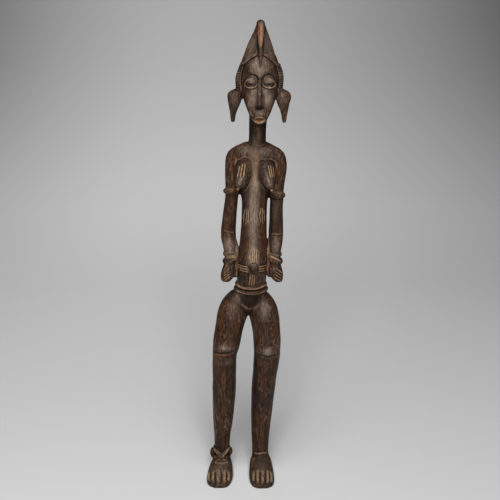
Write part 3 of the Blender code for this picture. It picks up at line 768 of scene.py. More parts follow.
@dataclass
class Trunk:
    """The body from the shoulders to the hips, with the breasts, the navel and the belt."""

    torso: Sequence[Station] = (
        (376, 4, 10, 6, 12), (383, 4, 10, 20, 18), (392, 2, 10, 38, 25), (404, 1, 10, 50.5, 29.5),
        (417, 2, 9, 44, 31), (430, 5, 6, 33.6, 30), (444, 7, 2.5, 31, 29.5), (458, 9, -1, 31.5, 32.5),
        (475, 10, -4.5, 31.8, 36), (492, 10.5, -5.5, 31.5, 36.5), (515, 11.5, -2.5, 30, 33),
        (550, 13, 3, 28.5, 29), (590, 14, 7, 27, 27), (625, 15, 9, 27.5, 27), (650, 16, 10, 33, 28),
        (672, 17, 10, 46, 29), (692, 17.5, 10, 57, 28), (708, 17.5, 10, 62, 27), (720, 17.5, 9, 62, 26),
        (732, 16.5, 8, 53.8, 24), (741.5, 15.8, 7, 40, 20.5), (749, 18, 5, 24, 15),
    )
    left_breast: Sequence[Point] = (
        (-5, -14, 716), (-7, -23, 700), (-9, -31, 686), (-14, -42, 674), (-18.5, -54, 666),
    )
    left_breast_radii: Sequence[float] = (11, 16.5, 17.5, 12.5, 5.6)
    right_breast: Sequence[Point] = (
        (37, -14, 716), (38.5, -23, 700), (40, -31, 684), (44.5, -42, 672), (48.5, -54, 664),
    )
    right_breast_radii: Sequence[float] = (11, 17, 18, 12.5, 5.6)
    seat: Sequence[Point] = ((-26, 22, 392), (28, 22, 392))
    seat_radii: Point = (27, 24, 27)
    nipples: Sequence[Point] = ((-19.8, -56.5, 663), (50, -56.5, 661))
    nipple_radii: Point = (3.6, 7, 3.6)
    navel: Point = (12.8, -48, 491)
    navel_radii: Point = (8.5, 12, 8.7)
    belt: Point = (7.3, 2.5, 443.9)
    belt_half: Plan = (30.4, 29.6)
    belt_tilt: float = 4.5
    belt_thickness: float = 0.0062
    belt_pitch: float = 0.0078

    def masses(self) -> list[bmesh.types.BMesh]:
        """The big forms.

        Returns:
            The forms in metres.
        """
        return [
            upright(self.torso, 2.15), *(ball(place, self.seat_radii) for place in self.seat),
            along(self.left_breast, self.left_breast_radii),
            along(self.right_breast, self.right_breast_radii),
        ]

    def features(self) -> list[bmesh.types.BMesh]:
        """The nipples, the navel and the belt's two cords, the lower one a little longer.

        Returns:
            The forms in metres.
        """
        forms = [ball(place, self.nipple_radii) for place in self.nipples]
        forms.append(ball(self.navel, self.navel_radii))
        x, y, z = self.belt
        wide, deep = self.belt_half
        for below in (0, self.belt_pitch / SHARE):
            forms.append(band((x, y, z - below), wide + below / 4, deep + below / 8,
                              self.belt_thickness, (self.belt_tilt, 0)))
        return forms

    def breast_marks(self) -> list[Mark]:
        """The breasts' outlines, their scars and their tips.

        Returns:
            The marks.
        """
        left = [(-27, 704), (-21.5, 715), (-6, 722.5), (4.6, 721.5), (9.8, 713.5), (10.6, 700),
                (9, 682), (3, 662), (-5, 649)]
        right = [(60.5, 700), (57.2, 711.5), (48.6, 718), (39.5, 720), (28, 718), (22, 711.4),
                 (21, 699.4), (22.4, 682.3), (30, 662), (38, 650)]
        left_scars = [[(-16, 706), (-20.6, 686)], [(-10.4, 709), (-14.4, 687)], [(-4.8, 709), (-7.8, 686.5)]]
        right_scars = [[(43, 706.5), (47.2, 686.5)], [(48, 706.5), (50.8, 686)], [(52.8, 704), (54.4, 686)]]
        under = [[(-25, 660), (-20, 657.6), (-14, 659)], [(44, 657.5), (50, 655), (55, 657)]]
        tips = [[(-19.8, 663), (-19.7, 663.1)], [(50, 661), (50.1, 661.1)]]
        return [
            Mark([left], 0.0018, pale=0.2, worn_and_highlight=0.65), Mark([right], 0.0018, pale=0.1, worn_and_highlight=0.65),
            Mark([beside(left, -2.6)], 0.0028, 0.0005, dirt_and_shade=0.5),
            Mark([beside(right, 2.6)], 0.0028, 0.0005, dirt_and_shade=0.6),
            *scar_group(left_scars), *scar_group(right_scars, 0.9),
            Mark(under, 0.0022, dirt_and_shade=0.7), Mark(tips, 0.0054, pale=0.8, red=0.2),
        ]

    def belly_marks(self) -> list[Mark]:
        """The scars on the flanks and round the navel, and the navel's own colour.

        Returns:
            The marks.
        """
        scars = (
            ([[(-5.4, 609), (-7.4, 595), (-8, 581)], [(-1.6, 611), (-1.8, 595), (-3.6, 578)],
              [(1.6, 608), (2.4, 595), (0.6, 583)]], 0.85),
            ([[(28.6, 614), (25.6, 598), (28.4, 582)], [(31.6, 613), (30.4, 598), (32.2, 580)],
              [(34.6, 608), (34.8, 597), (35.8, 584)]], 0.85),
            ([[(10.6, 525), (10.8, 503)], [(14.8, 528), (14.6, 503)], [(19.4, 526), (18.8, 503)]], 0.78),
            ([[(-19, 491.8), (0, 492.6)], [(-19, 487.2), (0, 487.2)], [(-16.5, 482.6), (0, 481.8)]], 0.8),
            ([[(24.8, 492.4), (39.6, 491.4)], [(24.8, 487.2), (40, 486)], [(24.8, 482), (39, 481)]], 0.8),
            ([[(6.4, 475), (3.4, 451)], [(10.6, 475), (8.6, 448.6)], [(14.8, 475), (13.8, 451)]], 0.8),
        )
        x, _, z = self.navel
        ring = [(x + 9.8 * math.cos(a), z + 10 * math.sin(a)) for a in np.radians(range(0, 361, 24))]
        over_navel = [[(12.8, 498), (12.8, 484)], [(6, 491), (19.6, 491)], [(8, 496), (17.6, 486)],
                      [(8, 486), (17.6, 496)]]
        return [
            *(mark for ridges, spread in scars for mark in scar_group(ridges, spread)),
            Mark([ring], 0.0018, 0.0006, dirt_and_shade=1.0),
            Mark([[(8.6, 498), (7, 491), (8.6, 484)]], 0.0050, dirt_and_shade=1.0),
            Mark([[(17.6, 487), (15, 483.6), (11, 483)]], 0.0036, dirt_and_shade=0.9),
            Mark(over_navel, 0.0070, red=1.0, dirt_and_shade=0.8, pale=0.1),
        ]

    def hip_marks(self) -> list[Mark]:
        """The belt's worn cords, the dark line between them, and the groins.

        Returns:
            The marks.
        """
        groin = [[(-17 + 0.034 * i * i, 421 - i), (26.5 - 0.031 * i * i, 420.5 - i)]
                 for i in range(0, 25, 3)]
        inner_thighs = [[(-13, 403), (-5, 396), (2, 389)], [(24, 402), (18, 395), (12, 388)]]
        return [
            Mark([[(-24, 446.6), (-12, 442.4), (5, 440), (22, 441), (38, 445)]], 0.0026, pale=0.68),
            Mark([[(-22.5, 433.6), (-9, 431), (5, 429.2), (22, 430), (36.5, 433)]], 0.0016, pale=0.45),
            Mark([[(-25, 439.6), (-9, 436.6), (5, 435.6), (22, 436.2), (38.5, 438.6)]],
                 0.0012, 0.0002, dirt_and_shade=0.7),
            Mark([[(-24, 428.6), (-9, 426.2), (5, 425), (22, 425.6), (37, 427.6)]],
                 0.0024, 0.0004, dirt_and_shade=0.8),
            Mark(groin, 0.0042, 0.0006, dirt_and_shade=0.75),
            Mark(inner_thighs, 0.0040, pale=0.08, worn_and_highlight=0.35),
        ]

    def back_marks(self) -> list[Mark]:
        """The spine, the cleft of the seat, the shoulder blades and the belt from behind.

        Returns:
            The marks.
        """
        blades = [[(-18, 712), (-8, 690), (-3, 668)], [(51, 712), (41, 690), (36, 668)]]
        return [
            Mark([[(16, 730), (16, 690), (15, 620), (11, 540), (8, 470)]],
                 0.0110, 0.0026, Look.BACK, dirt_and_shade=0.45),
            Mark([[(1, 412), (1, 372)]], 0.0110, 0.0026, Look.BACK, dirt_and_shade=0.7),
            Mark(blades, 0.0060, 0.0009, Look.BACK, dirt_and_shade=0.3),
            Mark([[(-25, 440), (7, 438.6), (38.5, 439)]], 0.0020, 0.0009, Look.BACK, dirt_and_shade=0.9),
            Mark([[(-23, 447), (7, 446.4), (37, 446)]], 0.0034, 0.0, Look.BACK, pale=0.4),
        ]

    def marks(self) -> list[Mark]:
        """Everything that is cut or raised on the trunk."""
        return self.breast_marks() + self.belly_marks() + self.hip_marks() + self.back_marks()

    def zones(self) -> list[Zone]:
        """Where the trunk is rubbed, dirty, waxed or redder.

        Returns:
            The zones.
        """
        return zones_of({
            Tone.WORN_AND_HIGHLIGHT: (
                ((15, -16, 690), (12, 22, 66), 1.0), ((12, -22, 600), (12, 22, 74), 0.9),
                ((6, -22, 738), (28, 20, 14), 0.6), ((34, -20, 735), (22, 20, 12), 0.6),
                ((-16, -50, 680), (8, 16, 14), 0.5), ((45, -50, 678), (8, 16, 14), 0.5),
                ((12, -42, 516), (13, 18, 30), 1.0), ((10, -40, 455), (20, 14, 12), 0.35),
                ((-22, -18, 415), (16, 18, 22), 0.45),
            ),
            Tone.PALE: (((15, -18, 692), (9, 20, 46), 0.38), ((12, -42, 518), (9, 16, 22), 0.28)),
            Tone.DIRT_AND_SHADE: (
                ((5, -22, 411), (20, 14, 9), 0.75), ((-12, -40, 470), (9, 18, 16), 0.5),
                ((-6, -28, 702), (11, 16, 16), 0.55), ((32, -26, 698), (9, 16, 22), 0.75),
                ((0, -26, 655), (14, 14, 14), 0.5), ((33, -24, 650), (14, 14, 16), 0.5),
            ),
            Tone.WAXED: (
                ((-18, -50, 672), (8, 14, 12), 0.2), ((44, -50, 672), (8, 14, 12), 0.2),
                ((12.8, -60, 491), (12, 12, 12), 0.3), ((15, -20, 600), (14, 20, 100), 0.25),
            ),
            Tone.RED: (
                ((33, -14, 545), (11, 20, 50), 0.95), ((40, -30, 482), (12, 16, 12), 0.8),
                ((15, -12, 738), (50, 24, 16), 0.45), ((-14, -14, 530), (9, 18, 40), 0.35),
                ((-22, -6, 735), (24, 26, 16), 0.45),
            ),
        })


@dataclass
class Arms:
    """Both arms, held away from the waist, with their bands and the hands laid by the belly."""

    left_arm: Sequence[Station] = (
        (737, -18.5, 8.5, 13, 13.5), (725, -26, 9.5, 16.4, 16.5), (713, -29.4, 10, 16.6, 17.5),
        (700, -30.6, 10, 16.2, 17.5), (682, -31, 10, 16, 17.5),
        (655, -31.5, 11, 15, 16), (629, -33.3, 13, 14, 14.8), (603, -36.2, 16, 14.6, 15),
        (577, -39.2, 18, 15.4, 16), (556, -40.6, 18, 16.1, 16.5), (540, -40, 13, 16.2, 16.5),
        (526, -38.2, 3, 14.2, 15), (513, -37.8, -7, 11.6, 12), (504, -38, -14, 10.2, 11),
    )
    right_arm: Sequence[Station] = (
        (737, 53, 8.5, 12.5, 13.5), (725, 61, 9.5, 16.2, 16.5), (713, 64.6, 10, 16.8, 17.5),
        (700, 65.5, 10, 17.1, 17.5), (682, 64.6, 10, 16.8, 17.5),
        (655, 62.6, 11, 15, 16), (629, 61.8, 13, 14.4, 14.8), (603, 61.2, 16, 14.2, 15),
        (577, 60.9, 18, 15, 16), (556, 60.6, 18, 15.7, 16.5), (540, 60.2, 13, 15.6, 16.5),
        (526, 59, 3, 14.3, 15), (513, 58.5, -7, 11.8, 12), (504, 58.5, -14, 10.4, 11),
    )
    left_hand: Sequence[Station] = (
        (514, -38, -12, 10.2, 10), (502, -38, -18, 10.2, 10), (490, -38.6, -22, 12.6, 10),
        (478, -40, -25, 15.6, 10), (468, -42.2, -26, 14.6, 9), (460, -45, -27, 10.5, 7),
        (456.5, -46, -27, 7, 5),
    )
    right_hand: Sequence[Station] = (
        (514, 58.5, -12, 10.4, 10), (502, 58.8, -18, 10.4, 10), (490, 59.2, -22, 12.6, 10),
        (478, 60, -25, 15, 10), (468, 62, -26, 14, 9), (460, 65, -27, 10, 7), (456, 66.5, -27, 6.5, 5),
    )
    left_web: Sequence[Station] = (
        (541, -24, 7, 0.8, 2), (533, -23.6, 4, 2.6, 5), (520, -22.4, -3, 6, 8), (498, -22, -10, 7.4, 9),
        (478, -23, -15, 7.4, 8), (464, -26.5, -18, 4.6, 5),
    )
    right_web: Sequence[Station] = (
        (546, 44.9, 7, 0.8, 2), (537, 44.6, 4, 2.6, 5), (524, 43.4, -3, 6, 8), (500, 43, -10, 7.4, 9),
        (480, 44, -15, 7.4, 8), (465, 47.5, -18, 4.6, 5),
    )
    arm_band: float = 0.0076
    wrist_band: float = 0.0072
    fingers: int = 4
    finger_radii: Sequence[float] = (2.4, 3.1, 2.7)
    finger_fronts: Point = (-31.2, -32.6, -30.4)

    def masses(self) -> list[bmesh.types.BMesh]:
        """The big forms.

        Returns:
            The forms in metres.
        """
        return [
            upright(self.left_arm), upright(self.right_arm),
            upright(self.left_hand, 2.4), upright(self.right_hand, 2.4),
        ]

    def finger_lines(self) -> tuple[list[list[Plan]], list[list[Plan]]]:
        """The middle lines of the fingers of the left and the right hand.

        Returns:
            The left hand's lines and the right hand's.
        """
        left = fan(self.fingers, (-38.4, 486), (0, -5.3), (-50.6, 476), (0.9, -4.9))
        right = fan(self.fingers, (61.6, 486), (-1.8, -5.7), (73.8, 476.6), (-1.9, -5.3))
        return left, right

    def features(self) -> list[bmesh.types.BMesh]:
        """The bands, the fingers, and the wood left between the wrists and the hips.

        Returns:
            The forms in metres.
        """
        slim = self.wrist_band / 2
        forms = [
            upright(self.left_web), upright(self.right_web),
            band((-33.8, 11.5, 644), 12.6, 14.4, self.arm_band, (0, 3)),
            band((62.2, 11.5, 636.5), 13.1, 14.4, self.arm_band, (2, 5)),
            band((-37.4, -17, 502), 11, 11, self.wrist_band, (14, -14)),
            band((-37.6, -9, 514), 12, 12.4, slim, (20, -2)),
            band((59.4, -17, 502), 11.4, 11, self.wrist_band, (14, 16)),
            band((58.6, -9, 513), 12, 12.4, slim, (20, 4)),
        ]
        root, knuckle, tip = self.finger_fronts
        for lines in self.finger_lines():
            for (x0, z0), (x1, z1) in lines:
                bones = [(x0, root, z0), ((x0 + x1) / 2, knuckle, (z0 + z1) / 2), (x1, tip, z1)]
                forms.append(along(bones, self.finger_radii))
        return forms

    def hand_marks(self) -> list[Mark]:
        """The cuts between the fingers, their worn backs and the pale edge of each web.

        Returns:
            The marks.
        """
        gaps, ridges = [], []
        for lines in self.finger_lines():
            gaps += [between(a, b) for a, b in zip(lines, lines[1:])]
            ridges += lines
        webs = [[(-23.2, 525), (-23.8, 511.5), (-24, 491), (-24, 470)],
                [(43.4, 528), (44, 515.6), (44.6, 495), (44.2, 472)]]
        return [
            Mark(gaps, 0.0023, 0.0012, dirt_and_shade=0.9), Mark(ridges, 0.0015, pale=0.55),
            Mark([[(-42.6, 498), (-46, 489), (-49.6, 481)]], 0.0024, -0.0004, pale=0.45, red=0.4),
            Mark([[(-48.8, 515), (-38.1, 518.4), (-27.2, 516)], [(48.4, 514.8), (57, 514.2), (66, 512)]],
                 0.0016, pale=0.5),
            Mark([[(-49.2, 506), (-40.1, 509.6), (-32, 510.4)]], 0.0026, pale=0.5),
            Mark([[(-32, 510.6), (-26.6, 509.4)]], 0.0046, pale=0.95),
            Mark([[(47.6, 510.4), (57.9, 507.6), (68.6, 502)]], 0.0030, pale=0.85),
            Mark(webs, 0.0044, pale=0.26),
        ]

    def marks(self) -> list[Mark]:
        """Everything that is cut or raised on the arms and hands.

        Returns:
            The marks.
        """
        above_bands = [[(-47, 650.6), (-37.6, 651.2), (-27, 650.4)],
                       [(48.3, 642.2), (60.7, 643.8), (75, 641)]]
        below_bands = [[(-47.6, 639), (-37.6, 638.4), (-26, 639.6)],
                       [(48.6, 631), (61, 629.6), (75.4, 630)]]
        elbow_ridges = [[(-52, 560.6), (-40.3, 558), (-28.4, 555.6)],
                        [(52.6, 554), (61.4, 553.2), (72.6, 553)]]
        elbow_cuts = [[(-52, 556.4), (-40.3, 554), (-28.4, 551.6)],
                      [(52.6, 550), (61.4, 549.2), (72.6, 549)]]
        scratches = [[(57, 530), (63, 524)], [(66, 536), (64, 530)], [(56, 545), (60, 543)],
                     [(67, 545), (70, 540)]]
        bands_behind = [[(-47, 651), (-33, 651), (-21, 651)], [(48, 643), (62, 643), (76, 643)]]
        return [
            *self.hand_marks(),
            Mark(above_bands, 0.0026, pale=0.32, worn_and_highlight=0.3),
            Mark(below_bands, 0.0026, 0.0006, dirt_and_shade=0.8),
            Mark(elbow_ridges, 0.0015, -0.0002, pale=0.12, worn_and_highlight=0.5),
            Mark(elbow_cuts, 0.0022, 0.0003, dirt_and_shade=0.15),
            Mark(scratches, 0.0014, 0.0002, pale=0.35),
            Mark(bands_behind, 0.0032, 0.0, Look.BACK, pale=0.4),
            Mark([[(-47, 557), (-33, 556)], [(54, 556), (68, 556)]], 0.0026, 0.0005, Look.BACK, dirt_and_shade=0.3),
        ]

    def zones(self) -> list[Zone]:
        """Where the arms are redder or rubbed.

        Returns:
            The zones.
        """
        return zones_of({
            Tone.RED: (
                ((-38, 0, 690), (17, 26, 38), 0.75), ((70, 0, 690), (12, 24, 30), 0.5),
                ((-44, -4, 610), (14, 18, 30), 0.2), ((70, -4, 640), (10, 20, 30), 0.4),
            ),
            Tone.WORN_AND_HIGHLIGHT: (
                ((-40, -8, 532), (16, 20, 22), 0.62), ((61, -8, 536), (15, 20, 20), 0.36),
                ((60, -6, 600), (10, 14, 34), 0.25),
            ),
        })


@dataclass
class Legs:
    """Both legs, lightly bent, and the flat feet with their cut toes."""

    left_leg: Sequence[Station] = (
        (40, -57.5, 11, 17.9, 18), (66, -57.1, 11, 17.1, 17), (81, -56.9, 12, 17.7, 18),
        (110, -55.3, 12, 20.9, 21.5), (153, -53.3, 11, 24.1, 25), (196, -51.5, 8, 25.8, 26.5),
        (238, -50.7, 4, 26.1, 26.5), (270, -50.5, -1, 26.3, 26.5), (288, -49.1, -4, 27.1, 27.5),
        (304, -46.5, -6, 29.1, 29.5), (322, -43.8, -3, 30.2, 29.5), (349, -38.2, 4, 31.1, 30.5),
        (374, -32.2, 10, 33.6, 32), (394, -27.2, 12.5, 32.1, 31), (408, -22, 12, 29.3, 28),
        (423, -14.5, 11, 23, 22),
    )
    right_leg: Sequence[Station] = (
        (40, 28.3, 11, 18.4, 18), (66, 28.2, 11, 18.4, 17.5), (81, 28.3, 12, 19.5, 18.5),
        (110, 29.4, 12, 21.5, 21.5), (153, 31.6, 11, 24, 25), (196, 34.2, 8, 25.8, 26.5),
        (238, 37.9, 4, 27.1, 26.5), (266, 40.9, -1, 28.2, 26.5), (284, 42.3, -4, 28.9, 27.5),
        (298, 42.3, -6, 29.3, 29.5), (322, 42, -3, 29.9, 29.5), (349, 39.2, 4, 30.8, 30.5),
        (374, 35.2, 10, 32.6, 32), (394, 31, 12.5, 31, 31), (408, 25.2, 12, 29, 28),
        (423, 19.5, 11, 22.5, 22),
    )
    left_foot: Sequence[Station] = (
        (36, -57, 10, 20), (28, -57, 16.5, 34), (12, -57.6, 21, 46), (-6, -58.8, 25.2, 41),
        (-20, -60, 27.6, 34), (-34, -61, 28.6, 27), (-46, -61.9, 27.8, 22), (-59, -62.6, 24.8, 18),
        (-69.5, -61.8, 18.6, 14), (-75, -60.6, 10.5, 10),
    )
    right_foot: Sequence[Station] = (
        (36, 28, 11, 20), (28, 28, 17.5, 34), (12, 28.8, 22.8, 49), (-6, 29.4, 25.6, 45),
        (-20, 30.2, 27, 36), (-34, 31, 27.6, 28), (-46, 31.8, 27.4, 22.5), (-60, 32.4, 25, 18),
        (-71, 32.6, 19.4, 14), (-76.6, 32.6, 11, 10),
    )
    toes: Sequence[tuple[float, float, float]] = (
        (-85.2, 3.8, -63), (-76.3, 4.4, -69), (-64.4, 6.2, -73), (-50.6, 6.0, -72), (-41.6, 3.4, -64),
        (13.2, 3.4, -66), (22.2, 4.6, -72.5), (33.2, 5.8, -75.5), (44.2, 4.4, -73.5), (52, 3.6, -68),
    )
    anklet: float = 0.0070
    anklet_place: Point = (-58, 9, 47)
    anklet_half: float = 18.6
    anklet_tilt: float = 33
    knots: Sequence[tuple[Point, Point]] = (
        ((-77.6, 8, 46), (6.4, 10, 12)), ((-38.4, 8, 50), (4.6, 9, 9)),
    )
    sole_overcut: float = 8.0

    def foot(self, stations: Sequence[Station]) -> bmesh.types.BMesh:
        """A foot, whose sections stand across it, and which goes on below the sole until it is cut.

        Args:
            stations: Distance back, centre x, half width and instep height of each section.

        Returns:
            The form in metres.
        """
        shape = ring_shape(2.3)
        rings = []
        for y, x, w, top in hermite(stations, 0, 4.0):
            half = (top + self.sole_overcut) / 2
            rings.append([(x + u * w, y, top - half + v * half) for u, v in shape])
        return tube(rings)

    def masses(self) -> list[bmesh.types.BMesh]:
        """The big forms.

        Returns:
            The forms in metres.
        """
        return [
            upright(self.left_leg, 2.1), upright(self.right_leg, 2.1),
            self.foot(self.left_foot), self.foot(self.right_foot),
        ]

    def features(self) -> list[bmesh.types.BMesh]:
        """The toes, and the two crossing rings of the anklet with their knots.

        Returns:
            The forms in metres.
        """
        half, tilt = self.anklet_half, self.anklet_tilt
        forms = [band(self.anklet_place, half, half, self.anklet, (0, lean)) for lean in (tilt, -tilt)]
        forms += [ball(*knot) for knot in self.knots]
        for x, radius, tip in self.toes:
            joints = [(x, -36, 22 - radius), (x, -52, 19.4 - radius), (x, tip + 5, 14.6 - radius),
                      (x, tip, 11 - radius)]
            forms.append(along(joints, (radius * 0.8, radius, radius, radius * 0.7)))
        return forms

    def foot_marks(self) -> list[Mark]:
        """The cuts between the toes, the toes' worn tops, and the anklet's lit edges.

        Returns:
            The marks.
        """
        gaps = [[(x, -42), (x, -80)] for x in (-80.6, -71, -57.4, -45.6, 17.4, 27.4, 39.2, 48.4)]
        tops = [[(x, -40), (x, tip + 3)] for x, _, tip in self.toes]
        crossing = [[(-75.6, 59), (-67, 51), (-58.4, 43.4)], [(-41.6, 60.4), (-50, 51.6), (-58.2, 43.4)]]
        below = [[(-58, 41), (-50, 37), (-45, 35)], [(-58.6, 41), (-67, 37), (-72, 35)]]
        return [
            Mark(gaps, 0.0022, 0.0020, Look.ABOVE, dirt_and_shade=0.5),
            Mark(tops, 0.0042, 0.0, Look.ABOVE, pale=0.42, worn_and_highlight=0.5),
            Mark(crossing, 0.0028, pale=0.5), Mark(below, 0.0026, pale=0.28),
            Mark([[(-74, 33), (-66, 33.4), (-52, 33.4), (-44, 33)]], 0.0020, -0.0005, pale=0.42),
            Mark([[(-82, 47), (-76, 45), (-70, 46)]], 0.0018, 0.0008, dirt_and_shade=0.9),
            Mark([[(14.3, 48.4), (24.3, 49), (33.2, 50.4), (42, 50)]], 0.0020, -0.0004, pale=0.25, worn_and_highlight=0.4),
            Mark([[(14.3, 52.6), (24.3, 53.4), (33.2, 54.6), (42, 54)]], 0.0020, 0.0004, dirt_and_shade=0.6),
        ]

    def knee_marks(self) -> list[Mark]:
        """The cuts and ridges below both knees, seen from the front and from behind.

        Returns:
            The marks.
        """
        return [
            Mark([[(-75, 295.6), (-60.4, 297), (-45.3, 298), (-30, 301.6)]], 0.0026, 0.0011, dirt_and_shade=0.8),
            Mark([[(-74, 290.8), (-58.2, 291.8), (-43.1, 292.8), (-31, 295.6)]],
                 0.0026, -0.0006, pale=0.38, red=1.0),
            Mark([[(-74, 300.6), (-60, 302), (-40, 303.4)]], 0.0040, -0.0002, red=0.9, dirt_and_shade=0.25),
            Mark([[(28, 293), (42.9, 289.4), (51.5, 291), (64, 294)]], 0.0024, 0.0007, dirt_and_shade=0.65),
            Mark([[(30, 288), (42.9, 284.6), (51.5, 286), (62, 289)]], 0.0022, -0.0003, pale=0.12, red=0.7),
            Mark([[(-62, 290), (-36, 290)], [(30, 288), (56, 288)]], 0.0040, 0.0007, Look.BACK, dirt_and_shade=0.5),
        ]

    def stains(self) -> list[Mark]:
        """The dark pits and stains and the small pale chips on the thighs.

        Returns:
            The marks.
        """
        right_stains = [[(50, 371), (52, 363)], [(54, 353), (53, 346)], [(45, 341), (46.4, 335)],
                        [(57, 334), (56, 327)], [(49, 325), (51, 321)], [(33, 352), (33.6, 346)]]
        left_stains = [[(-62, 372), (-60.4, 364)], [(-66, 352), (-65, 343)], [(-50, 330), (-49, 324)]]
        chips = [[(15, 371), (15.6, 367)], [(17, 357), (17.4, 353)], [(14.6, 345), (15, 341)],
                 [(-62, 309), (-61.6, 306)], [(52, 352), (52.4, 348)], [(58, 330), (58.6, 325)]]
        return [
            Mark([[(-56, 332.6), (-55, 331.4)]], 0.0036, 0.0012, dirt_and_shade=1.0),
            Mark([[(-47.8, 354), (-46.6, 352)]], 0.0030, 0.0009, dirt_and_shade=1.0),
            Mark([[(-53.7, 343), (-51.5, 341)], [(-60, 345), (-58, 342)]], 0.0024, 0.0006, dirt_and_shade=0.9),
            Mark(right_stains, 0.0030, dirt_and_shade=0.8), Mark(left_stains, 0.0034, dirt_and_shade=0.75),
            Mark(chips, 0.0013, pale=0.55),
        ]

    def marks(self) -> list[Mark]:
        """Everything that is cut, raised or stained on the legs and feet."""
        return self.foot_marks() + self.knee_marks() + self.stains()

    def zones(self) -> list[Zone]:
        """Where the legs are redder, rubbed, waxed or darker down the inner right leg; the rubbed spots on
        the knees are partly painted highlights.

        Returns:
            The zones.
        """
        return zones_of({
            Tone.RED: (
                ((-60, -12, 365), (16, 30, 42), 0.8), ((-36, -14, 330), (16, 26, 30), 0.4),
                ((60, -10, 370), (12, 28, 40), 0.6), ((-66, -8, 235), (12, 24, 36), 0.55),
                ((20, -10, 330), (8, 20, 40), 0.25),
            ),
            Tone.WORN_AND_HIGHLIGHT: (
                ((-34, -22, 398), (13, 20, 26), 0.52), ((38, -22, 395), (13, 20, 30), 0.58),
                # The spots at (-50, -30, 310) and (42.8, -30, 301) are wear and painted highlight on the
                # knees.
                ((40, -24, 345), (9, 18, 34), 0.15), ((-50, -30, 310), (11, 14, 8), 0.8),
                ((42.8, -30, 301), (8, 14, 8), 1.0), ((-50, -22, 282), (20, 14, 9), 0.25),
                ((-60, -40, 24), (26, 34, 18), 0.4), ((31, -40, 24), (24, 34, 18), 0.24),
                ((-50, -26, 272), (22, 12, 7), 0.35),
            ),
            Tone.WAXED: (((-50, -30, 310), (16, 18, 12), 1.0), ((42, -30, 302), (16, 18, 12), 1.0)),
            Tone.DIRT_AND_SHADE: (((17, -10, 210), (8, 24, 130), 0.7),),
        })


def rows_of(items: bpy.types.bpy_prop_collection, what: str) -> np.ndarray:
    """Three numbers of each of a mesh's items, as rows.

    Args:
        items: The mesh's points or normals.
        what: The name of the numbers to read.

    Returns:
        One row to an item.
    """
    flat = np.empty(len(items) * 3)
    items.foreach_get(what, flat)
    return flat.reshape(-1, 3)


def add_numbers(mesh: bpy.types.Mesh, name: str, values: np.ndarray) -> None:
    """Gives each point of the mesh a number that the finish can read."""
    layer = mesh.attributes.new(name, "FLOAT", "POINT")
    layer.data.foreach_set("value", values.astype(np.float32))


